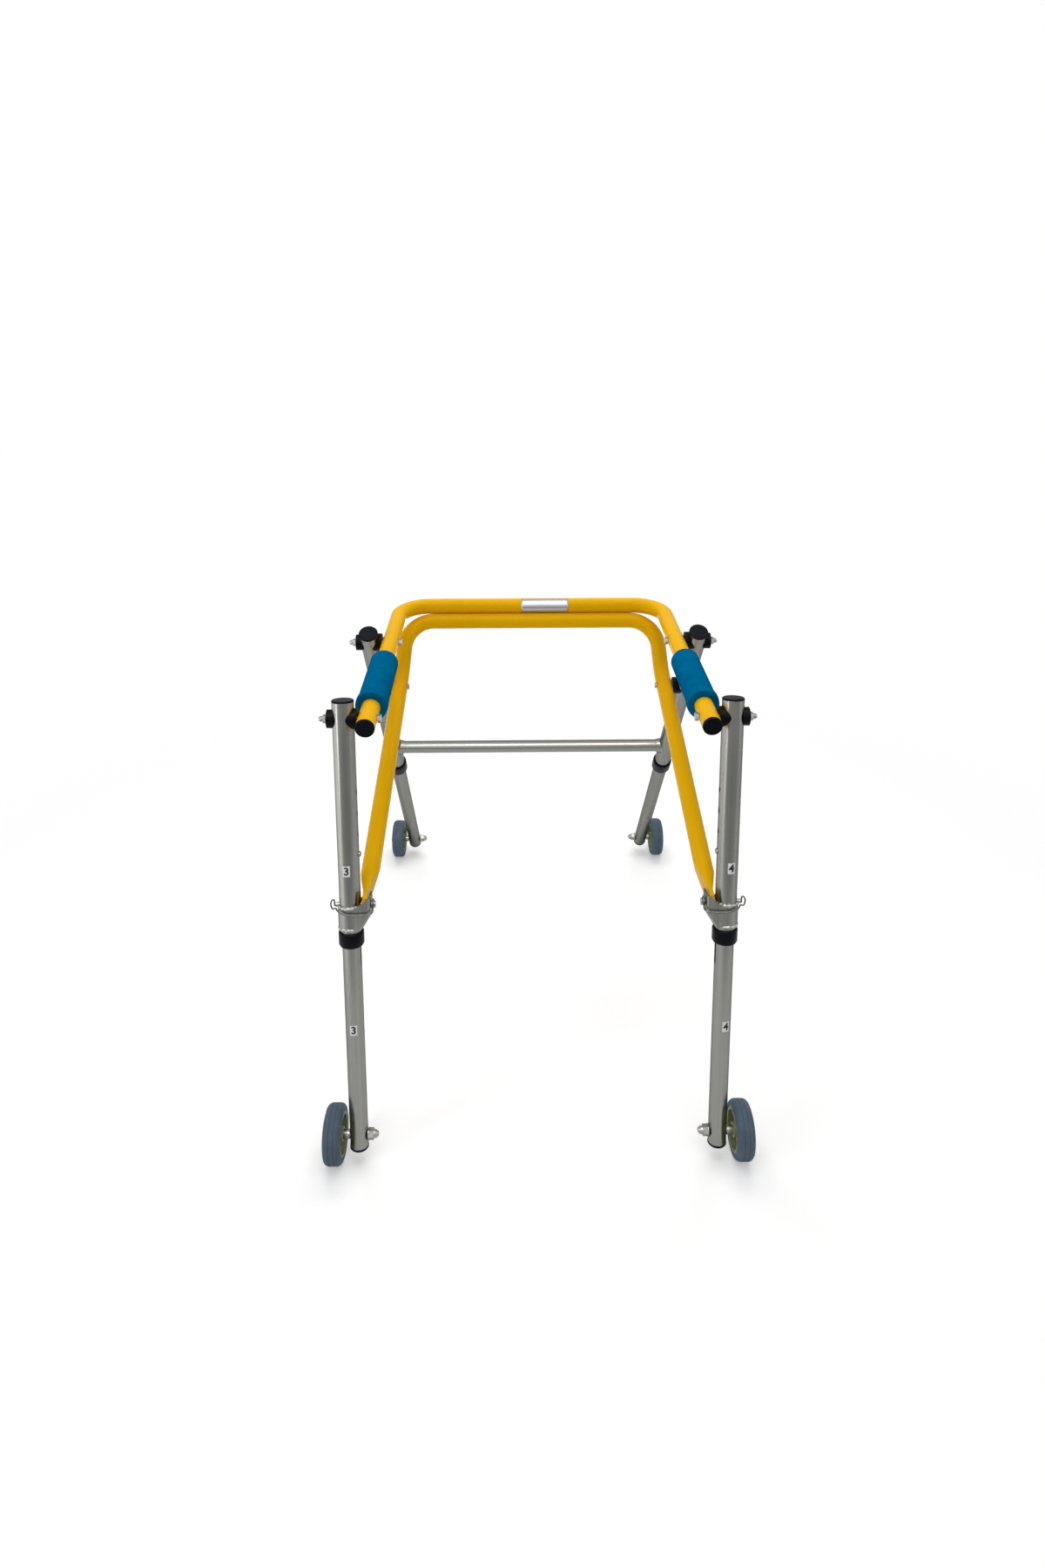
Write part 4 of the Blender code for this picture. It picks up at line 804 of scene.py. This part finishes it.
class Look:
    """A Principled material with short ways to add texture to it."""

    def __init__(self, name, colour, roughness, metallic=0.0, edge=0.0):
        self.material = bpy.data.materials.new("look_" + name)
        FINISHES[name] = self.material
        self.material.use_nodes = True
        self.tree = self.material.node_tree
        self.shader = self.tree.nodes["Principled BSDF"]
        self.shader.inputs["Base Color"].default_value = (*colour, 1)
        self.shader.inputs["Roughness"].default_value = roughness
        self.shader.inputs["Metallic"].default_value = metallic
        self.normal = None
        if edge:
            self.use_normal(add_node(self.tree, "Bevel", {"Radius": edge}, samples=4))

    def use_normal(self, node):
        self.normal = node.outputs["Normal"]
        self.tree.links.new(self.normal, self.shader.inputs["Normal"])

    def noise(self, scale, detail=3.0, lean=0.0, stretch=(1, 1, 1)):
        """Noise in object coordinates, turned so that Z runs along a leg with this lean."""
        source = add_node(self.tree, "TexCoord", {}).outputs["Object"]
        leaning = add_node(self.tree, "Mapping", {"Vector": source, "Rotation": (lean, 0, 0)})
        vector = add_node(self.tree, "Mapping", {"Vector": leaning.outputs["Vector"], "Scale": stretch})
        inputs = {"Vector": vector.outputs["Vector"], "Scale": scale, "Detail": detail}
        return add_node(self.tree, "TexNoise", inputs).outputs["Fac"]

    def cells(self, scale):
        source = add_node(self.tree, "TexCoord", {}).outputs["Object"]
        return add_node(self.tree, "TexVoronoi", {"Vector": source, "Scale": scale}).outputs["Distance"]

    def vary_colour(self, factor, low, high, end=0.7):
        ramp = add_node(self.tree, "ValToRGB", {"Fac": factor})
        for element, position, colour in zip(ramp.color_ramp.elements, (0.3, end), (low, high)):
            element.position = position
            element.color = (*colour, 1)
        self.tree.links.new(ramp.outputs["Color"], self.shader.inputs["Base Color"])

    def vary_roughness(self, factor, low, high):
        self.tree.links.new(spread(self.tree, factor, low, high, 0.3, 0.7), self.shader.inputs["Roughness"])

    def bump(self, height, strength, distance):
        inputs = {"Height": height, "Strength": strength, "Distance": distance}
        if self.normal:
            inputs["Normal"] = self.normal
        self.use_normal(add_node(self.tree, "Bump", inputs))

    def reflect(self, level=0.5, tint=(1, 1, 1)):
        self.shader.inputs["Specular IOR Level"].default_value = level
        self.shader.inputs["Specular Tint"].default_value = (*tint, 1)


def drawn_tube(name, lean, across=False):
    """Drawn and anodised tube: streaks along it, partly the tube's own and partly painted reflection bands,
    fine lines along it, faint smudges, satin gloss.
    """
    look = Look(name, (0.35, 0.35, 0.33), 0.30, 1.0, 0.0 if across else 0.0004)
    fine, coarse = ((1, 400, 400), (2, 130, 130)) if across else ((400, 400, 1), (130, 130, 2))
    # The coarse streaks in the colour are partly painted reflection bands, pale and dark, running along the
    # tube
    look.vary_colour(look.noise(1.0, 2.0, lean, coarse), (0.30, 0.302, 0.284), (0.40, 0.40, 0.378), 0.72)
    look.vary_roughness(look.noise(26.0, 3.0, lean, (1, 1, 0.5)), *((0.16, 0.22) if across else (0.22, 0.30)))
    look.bump(look.noise(1.0, 2.0, lean, fine), 0.01 if across else 0.03, 0.0003)
    look.reflect(tint=(0.45, 0.45, 0.43))


def textured(name, flat, roughness, metallic=0.0, edge=0.0, colours=None, gloss=None, grain=None):
    """A material whose colours, roughness and surface follow noise. The scale of each noise comes first."""
    look = Look(name, flat, roughness, metallic, edge)
    if colours:
        scale, detail, low, high = colours
        look.vary_colour(look.noise(scale, detail), low, high)
    if gloss:
        scale, low, high = gloss
        look.vary_roughness(look.noise(scale), low, high)
    if grain:
        scale, detail, strength, distance = grain
        look.bump(look.noise(scale, detail), strength, distance)
    return look


def brushed_label():
    """Silver foil with fine lines along the bar."""
    look = Look("label", (0.55, 0.56, 0.58), 0.26, 0.85)
    lines = look.noise(1.0, 2.0, stretch=(8, 700, 700))
    look.vary_colour(lines, (0.48, 0.49, 0.51), (0.62, 0.63, 0.65))
    look.bump(lines, 0.08, 0.0002)


# Amber-yellow powder coat with a faint orange peel under its gloss
paint = textured("yellow_paint", (0.87, 0.475, 0.002), 0.26, gloss=(60.0, 0.12, 0.18),
                 colours=(14.0, 2.0, (0.855, 0.458, 0.0015), (0.885, 0.480, 0.0025)),
                 grain=(420.0, 1.0, 0.02, 0.0004))
paint.reflect(0.10, (1.0, 0.80, 0.30))
black = textured("black_plastic", (0.0035, 0.0042, 0.0075), 0.34, edge=0.0005, gloss=(60.0, 0.28, 0.42),
                 colours=(45.0, 3.0, (0.0014, 0.0019, 0.0036), (0.0030, 0.0037, 0.0066)),
                 grain=(1500.0, 2.0, 0.12, 0.0002))
black.reflect(0.09)
rubber = textured("grey_tyre", (0.075, 0.105, 0.155), 0.60, gloss=(90.0, 0.50, 0.68),
                  colours=(40.0, 4.0, (0.076, 0.108, 0.150), (0.108, 0.146, 0.200)),
                  grain=(700.0, 2.0, 0.15, 0.0003))
rubber.reflect(0.20)
# Closed-cell foam: matt, with fine cells and a slight mottling
foam = textured("blue_foam", (0.0, 0.142, 0.300), 0.90,
                colours=(55.0, 3.0, (0.0, 0.106, 0.232), (0.0005, 0.134, 0.288)))
foam.bump(foam.cells(900.0), 0.30, 0.0004)
foam.bump(foam.noise(260.0), 0.22, 0.0006)
foam.reflect(0.0)
drawn_tube("front_tube", FRONT_LEAN)
drawn_tube("rear_tube", -REAR_LEAN)
drawn_tube("cross_tube", 0.0, across=True)
# The inside of a drawn tube, painted dark as the shade in its bore
textured("tube_bore", (0.05, 0.05, 0.048), 0.6, 0.6,
         colours=(90.0, 3.0, (0.035, 0.035, 0.034), (0.065, 0.065, 0.062)))
textured("spring_wire", (0.16, 0.16, 0.155), 0.28, 1.0, grain=(900.0, 3.0, 0.06, 0.0002),
         colours=(150.0, 2.0, (0.11, 0.115, 0.11), (0.22, 0.22, 0.21)))
textured("hub_nylon", (0.36, 0.38, 0.24), 0.42, edge=0.0005, grain=(800.0, 3.0, 0.10, 0.0002),
         colours=(70.0, 3.0, (0.20, 0.23, 0.10), (0.34, 0.37, 0.20)))
textured("zinc_steel", (0.40, 0.40, 0.38), 0.22, 1.0, 0.0003, gloss=(120.0, 0.16, 0.32),
         colours=(120.0, 3.0, (0.30, 0.30, 0.29), (0.50, 0.49, 0.46)), grain=(900.0, 3.0, 0.08, 0.0002))
textured("weld", (0.42, 0.42, 0.40), 0.42, 1.0, grain=(1100.0, 3.0, 0.35, 0.0004),
         colours=(300.0, 3.0, (0.30, 0.30, 0.285), (0.56, 0.56, 0.54)))
textured("sticker", (0.80, 0.80, 0.79), 0.42, colours=(150.0, 3.0, (0.86, 0.86, 0.85), (0.93, 0.93, 0.92)))
textured("ink", (0.004, 0.004, 0.005), 0.5, gloss=(200.0, 0.42, 0.6))
brushed_label()
BODY_OF = {node: body for body, nodes in frame["record"]["behaviour"]["bodies"].items() for node in nodes}
SLOT_OF = {entry["node"]: entry["material_slot"] for entry in frame["record"]["subparts"]}


def finish_of(node):
    if node.startswith("pin_bail"):
        return "spring_wire"
    if SLOT_OF[node] != "aluminium":
        return SLOT_OF[node]
    return "front_tube" if node.startswith("front") else "rear_tube"


def leg_point(side, rear, height, angle, radius):
    """A point beside a leg: height above the axle, angle from the outboard side towards the front."""
    foot, up = (REAR_AXLE, REAR_UP) if rear else (FRONT_AXLE, FRONT_UP)
    ahead = Vector((0, -up.z, up.y))
    out = Vector((side, 0, 0))
    return foot + out * LEG_X + up * height + (out * math.cos(angle) + ahead * math.sin(angle)) * radius


def finish_faces(node, mesh):
    """Gives the inside of each upper leg its own finish, painted dark as shade, and the crossbar a finish of
    its own.
    """
    rear = node == "rear_frame"
    if not rear and not node.startswith("front_upper_leg"):
        return
    mesh.materials.append(FINISHES["tube_bore"])
    mesh.materials.append(FINISHES["cross_tube"])
    up = REAR_UP if rear else FRONT_UP
    for face in mesh.polygons:
        side = 1 if face.center.x > 0 else -1
        offset = face.center - leg_point(side, rear, 0, 0, 0)
        offset -= up * offset.dot(up)
        if abs(face.center.x) < LEG_INNER_FACE - 0.0012:
            face.material_index = 2 if rear else 0
        elif offset.length < UPPER_R - UPPER_WALL * 0.4 and face.normal.dot(offset) < 0:
            # Faces inside the bore take the dark finish that paints its shade
            face.material_index = 1


def show(name, mesh, sharp, body):
    """Adds a mesh in the frame's coordinates; edges above this angle stay sharp."""
    mesh.shade_smooth()
    mesh.set_sharp_from_angle(angle=math.radians(sharp))
    obj = bpy.data.objects.new(name, mesh)
    bpy.context.scene.collection.objects.link(obj)
    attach(obj, body)
    return obj


def settle():
    """Turns each worked piece into a plain mesh in the frame's coordinates, in place of its node."""
    bpy.context.view_layer.update()
    depsgraph = bpy.context.evaluated_depsgraph_get()
    meshes = {}
    for node, piece in PIECES.items():
        meshes[node] = bpy.data.meshes.new_from_object(piece.evaluated_get(depsgraph))
        meshes[node].transform(piece.matrix_world)
    for obj in list(WORK.objects):
        bpy.data.objects.remove(obj, do_unlink=True)
    bpy.data.collections.remove(WORK)
    for node, mesh in meshes.items():
        mesh.materials.clear()
        mesh.materials.append(FINISHES[finish_of(node)])
        finish_faces(node, mesh)
        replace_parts(show("fine_" + node, mesh, 32, BODY_OF[node]), node)


def add_piece(name, bm, finish, body):
    """A small piece that the CAD model lacks."""
    mesh = bpy.data.meshes.new(name)
    bmesh.ops.recalc_face_normals(bm, faces=bm.faces)
    bm.to_mesh(mesh)
    bm.free()
    mesh.materials.append(FINISHES[finish])
    return show(name, mesh, 40, body)


def add_bead(name, centres, radii, body, sides=10):
    """A closed weld bead through the centres, with its own radius at each."""
    bm = bmesh.new()
    count = len(centres)
    rings = []
    for i, (centre, radius) in enumerate(zip(centres, radii)):
        ahead = (centres[(i + 1) % count] - centres[i - 1]).normalized()
        side = ahead.orthogonal().normalized() if i == 0 else side - ahead * side.dot(ahead)
        side.normalize()
        up = ahead.cross(side)
        ring = []
        for k in range(sides):
            angle = 2 * math.pi * k / sides
            ring.append(bm.verts.new(centre + (side * math.cos(angle) + up * math.sin(angle)) * radius))
        rings.append(ring)
    for i, ring in enumerate(rings):
        following = rings[(i + 1) % count]
        for k in range(sides):
            bm.faces.new((ring[k], ring[(k + 1) % sides], following[(k + 1) % sides], following[k]))
    add_piece(name, bm, "weld", body)


BEAD_POINTS = 144
BEAD_RADIUS = 0.0017


def weld_radii(ripples, seed):
    """Radii along a weld bead: scalloped by each dab of filler, and a little uneven."""
    radii = []
    for i in range(BEAD_POINTS):
        turn = i / BEAD_POINTS
        scallop = abs(math.sin(math.pi * ripples * turn))
        angle = 2 * math.pi * turn
        uneven = noise.noise(Vector((2 * math.cos(angle), 2 * math.sin(angle), seed)))
        radii.append(BEAD_RADIUS * (0.80 + 0.26 * scallop + 0.22 * uneven))
    return radii


def add_sleeve_weld(name, side, height, seed):
    """The bead between the bracket's sleeve and the front leg, thickest in front."""
    centres = []
    radii = weld_radii(15, seed)
    for i in range(BEAD_POINTS):
        angle = 2 * math.pi * i / BEAD_POINTS
        wander = 0.0004 * noise.noise(Vector((i * 0.25, seed, 0.5)))
        centres.append(leg_point(side, False, height + wander, angle, UPPER_R + 0.0009))
        radii[i] *= 1 + 0.8 * max(0, math.sin(angle))
    add_bead(name, centres, radii, f"front_leg_{SIDE_NAMES[side]}")


def add_crossbar_weld(name, side, seed):
    """The bead where the coped crossbar meets a rear leg."""
    centres = []
    bar = CROSSBAR_OD / 2 + 0.0004
    for i in range(BEAD_POINTS):
        turn = 2 * math.pi * i / BEAD_POINTS
        across, along = bar * math.cos(turn), bar * math.sin(turn)
        depth = math.sqrt(UPPER_R ** 2 - min(across, UPPER_R * 0.98) ** 2)
        angle = math.atan2(across, -depth)
        centres.append(leg_point(side, True, CROSSBAR_HEIGHT + along, angle, UPPER_R + 0.0003))
    add_bead(name, centres, weld_radii(14, seed), "rear_legs")


def sheet(columns, rows, spot):
    """A flat or bent sheet of faces, with its corners where spot(across, up) puts them, both from 0 to 1."""
    bm = bmesh.new()
    grid = []
    for j in range(rows + 1):
        grid.append([bm.verts.new(spot(i / columns, j / rows)) for i in range(columns + 1)])
    for low, high in zip(grid, grid[1:]):
        for i in range(columns):
            bm.faces.new((low[i], low[i + 1], high[i + 1], high[i]))
    return bm


def thicken(plate, thickness):
    solid = plate.modifiers.new("thickness", "SOLIDIFY")
    solid.thickness = thickness
    solid.offset = 0


def wrapped(bm, side, height, facing, radius, lift):
    """Bends a flat drawing, x across and y up in metres, round a front leg.

    It faces this many degrees from the outboard side, towards the front.
    """
    for vertex in bm.verts:
        x, y, _ = vertex.co
        angle = math.radians(facing) - side * x / radius
        vertex.co = leg_point(side, False, height + y, angle, radius + lift)


def digit_drawing(digit):
    """A plain digit as a flat drawing round its own middle."""
    curve = bpy.data.curves.new("digit_curve", "FONT")
    curve.body = digit
    curve.size = 0.0148
    curve.align_x = "CENTER"
    curve.align_y = "CENTER"
    curve.offset = 0.00045
    bm = bmesh_of(curve)
    bmesh.ops.remove_doubles(bm, verts=bm.verts, dist=0.00001)
    bmesh.ops.triangulate(bm, faces=bm.faces)
    bmesh.ops.subdivide_edges(bm, edges=bm.edges, cuts=2, use_grid_fill=True)
    return bm


STICKER_WIDTH = 0.0100
STICKER_HEIGHT = 0.0150
PAPER_LIFT = 0.00012        # above the tube
INK_LIFT = 0.00026


def add_sticker(tag, side, height, facing, radius, body, digit):
    """A small square sticker with a plain digit on it."""
    paper = sheet(12, 6, lambda x, y: ((x - 0.5) * STICKER_WIDTH, (y - 0.5) * STICKER_HEIGHT, 0))
    wrapped(paper, side, height, facing, radius, PAPER_LIFT)
    thicken(add_piece("sticker_" + tag, paper, "sticker", body), 0.00012)
    ink = digit_drawing(digit)
    wrapped(ink, side, height, facing, radius, INK_LIFT)
    add_piece("digit_" + tag, ink, "ink", body)


def add_label():
    """The bare silver plate that is stuck on the back bar of the rail."""
    first, last = -0.017, 0.062
    half, facing = math.radians(61), math.radians(163)    # facing runs from +Y over the top to the front
    centre = FRONT_PIVOT + Vector((0, math.cos(RAIL_TILT), math.sin(RAIL_TILT))) * RAIL_REACH

    def spot(across, up):
        angle = facing + half * (2 * up - 1)
        out = Vector((0, math.cos(angle), math.sin(angle))) * (RAIL_R + 0.0002)
        return Vector((first + (last - first) * across, centre.y, centre.z)) + out

    thicken(add_piece("rail_label_plate", sheet(24, 16, spot), "label", "rail"), 0.0002)


settle()
# Heights on a front leg of the welds at both ends of the bracket's sleeve, and of the stickers
TOP_WELD = BRACE_PIN_HEIGHT - 0.0002
LOW_WELD = BRACE_PIN_HEIGHT - 0.0306
UPPER_STICKER = 0.3948
LOWER_STICKER = 0.1658
# For each side: the digit on its stickers, and which way the upper and the lower one face, in degrees
STICKERS = {-1: ("3", 86, 91), 1: ("4", 80, 74)}
for side, hand in SIDE_NAMES.items():
    add_sleeve_weld(f"sleeve_weld_{hand}_top", side, TOP_WELD, 1.0 + side)
    add_sleeve_weld(f"sleeve_weld_{hand}_low", side, LOW_WELD, 5.0 + side)
    add_crossbar_weld(f"crossbar_weld_{hand}", side, 3.0 + side)
    digit, upper_facing, lower_facing = STICKERS[side]
    add_sticker(f"{hand}_upper", side, UPPER_STICKER, upper_facing, UPPER_R, f"front_leg_{hand}", digit)
    add_sticker(f"{hand}_lower", side, LOWER_STICKER, lower_facing, LOWER_R, f"foot_front_{hand}", digit)
add_label()

# Camera, at the photograph's viewing angle
camera_data = bpy.data.cameras.new("camera")
camera_data.sensor_fit = "VERTICAL"
camera_data.sensor_height = 36.0
camera_data.lens = 20.538
camera_data.shift_x = 0.0015
camera_data.shift_y = -0.0803
camera_data.clip_start = 0.05
camera = bpy.data.objects.new("camera", camera_data)
bpy.context.scene.collection.objects.link(camera)
bpy.context.scene.camera = camera
camera.location = (-0.03518, -1.34594, 1.09330)
pitch, heading, roll = 0.34723, 0.01112, -0.00196
camera.rotation_euler = (Matrix.Rotation(-heading, 3, "Z") @ Matrix.Rotation(QUARTER - pitch, 3, "X")
                         @ Matrix.Rotation(roll, 3, "Z")).to_euler()


def add_softbox(name, location, aim, width, height, power, in_gloss=True, on_matt=True):
    """A soft box of this size that faces the point it is aimed at, for glossy surfaces, matt ones or both."""
    data = bpy.data.lights.new(name, "AREA")
    data.shape = "RECTANGLE"
    data.size = width
    data.size_y = height
    data.energy = power
    light = bpy.data.objects.new(name, data)
    bpy.context.scene.collection.objects.link(light)
    light.location = location
    light.visible_glossy = in_gloss
    light.visible_diffuse = on_matt
    light.rotation_euler = (Vector(aim) - light.location).to_track_quat("-Z", "Y").to_euler()


add_softbox("overhead", (0.0, -0.90, 2.45), (0, -0.5, 0.4), 1.7, 2.0, 19)
add_softbox("strip", (-0.45, -1.15, 2.35), (0, 0.1, 0.6), 1.2, 0.16, 5, on_matt=False)
add_softbox("top", (0.0, 0.95, 2.1), (0, 0.1, 0.4), 2.2, 1.0, 24, in_gloss=False)
add_softbox("key", (-1.95, -1.35, 1.0), (0, -0.2, 0.35), 0.50, 2.0, 10)
add_softbox("fill", (2.1, -0.9, 1.2), (0, 0, 0.45), 0.5, 1.8, 3)

WHITE = (1, 1, 1, 1)


def add_floor():
    """A pale disc whose rim fades into the white surroundings."""
    bm = bmesh.new()
    bmesh.ops.create_circle(bm, cap_ends=True, segments=96, radius=9.0)
    mesh = bpy.data.meshes.new("floor")
    bm.to_mesh(mesh)
    bm.free()
    floor = bpy.data.objects.new("floor", mesh)
    floor.location.z = -0.0005
    bpy.context.scene.collection.objects.link(floor)
    material = bpy.data.materials.new("floor")
    material.use_nodes = True
    material.cycles.emission_sampling = "NONE"    # it is a pale surface, not a lamp
    tree = material.node_tree
    seen = add_node(tree, "LightPath", {}).outputs["Is Camera Ray"]
    shader = tree.nodes["Principled BSDF"]
    shader.inputs["Base Color"].default_value = (0.94, 0.94, 0.94, 1)
    shader.inputs["Roughness"].default_value = 0.9
    shader.inputs["Specular IOR Level"].default_value = 0.1
    shader.inputs["Emission Color"].default_value = WHITE
    tree.links.new(spread(tree, seen, 0.0, 0.30), shader.inputs["Emission Strength"])
    # The rim is white to the camera; what metal reflects of it is paler to the left than near the front
    where = add_node(tree, "TexCoord", {}).outputs["Object"]
    split = add_node(tree, "SeparateXYZ", {"Vector": where})
    sideways = spread(tree, split.outputs["X"], 1.35, 0.62, -1.4, 0.8)
    ahead = spread(tree, split.outputs["Y"], 0.36, sideways, -1.7, -0.7, "SMOOTHSTEP")
    strength = spread(tree, seen, ahead, 1.0)
    glow = add_node(tree, "Emission", {"Color": WHITE, "Strength": strength})
    distance = add_node(tree, "VectorMath", {0: where}, operation="LENGTH").outputs["Value"]
    fade = spread(tree, distance, 0.0, 1.0, 0.5, 1.6, "SMOOTHSTEP")
    mix = add_node(tree, "MixShader", {"Fac": fade, 1: shader.outputs["BSDF"], 2: glow.outputs["Emission"]})
    tree.links.new(mix.outputs["Shader"], tree.nodes["Material Output"].inputs["Surface"])
    mesh.materials.append(material)


def light_world():
    """White to the camera; what metal reflects is pale overhead and in front, dimmer low and behind."""
    world = bpy.data.worlds.new("studio")
    bpy.context.scene.world = world
    world.use_nodes = True
    tree = world.node_tree
    tree.nodes.clear()
    where = add_node(tree, "TexCoord", {}).outputs["Generated"]
    split = add_node(tree, "SeparateXYZ", {"Vector": where})
    around = add_node(tree, "FloatCurve", {"Value": spread(tree, split.outputs["Y"], 0.0, 1.0, -1.0)})
    points = around.mapping.curves[0].points
    points[0].location, points[1].location = (0.0, 1.0), (1.0, 0.36)
    points.new(0.35, 1.0)
    points.new(0.62, 0.85)
    around.mapping.update()
    height = spread(tree, split.outputs["Z"], 0.42, around.outputs["Value"], -0.05, 0.35, "SMOOTHSTEP")
    glossy, plain, white = [
        add_node(tree, "Background", {"Color": WHITE, "Strength": strength}).outputs["Background"]
        for strength in (height, 0.22, 1.0)]
    path = add_node(tree, "LightPath", {})
    shiny = add_node(tree, "MixShader", {"Fac": path.outputs["Is Glossy Ray"], 1: plain, 2: glossy})
    inputs = {"Fac": path.outputs["Is Camera Ray"], 1: shiny.outputs["Shader"], 2: white}
    seen = add_node(tree, "MixShader", inputs)
    add_node(tree, "OutputWorld", {"Surface": seen.outputs["Shader"]})


add_floor()
light_world()
bpy.context.scene.view_settings.view_transform = "Standard"
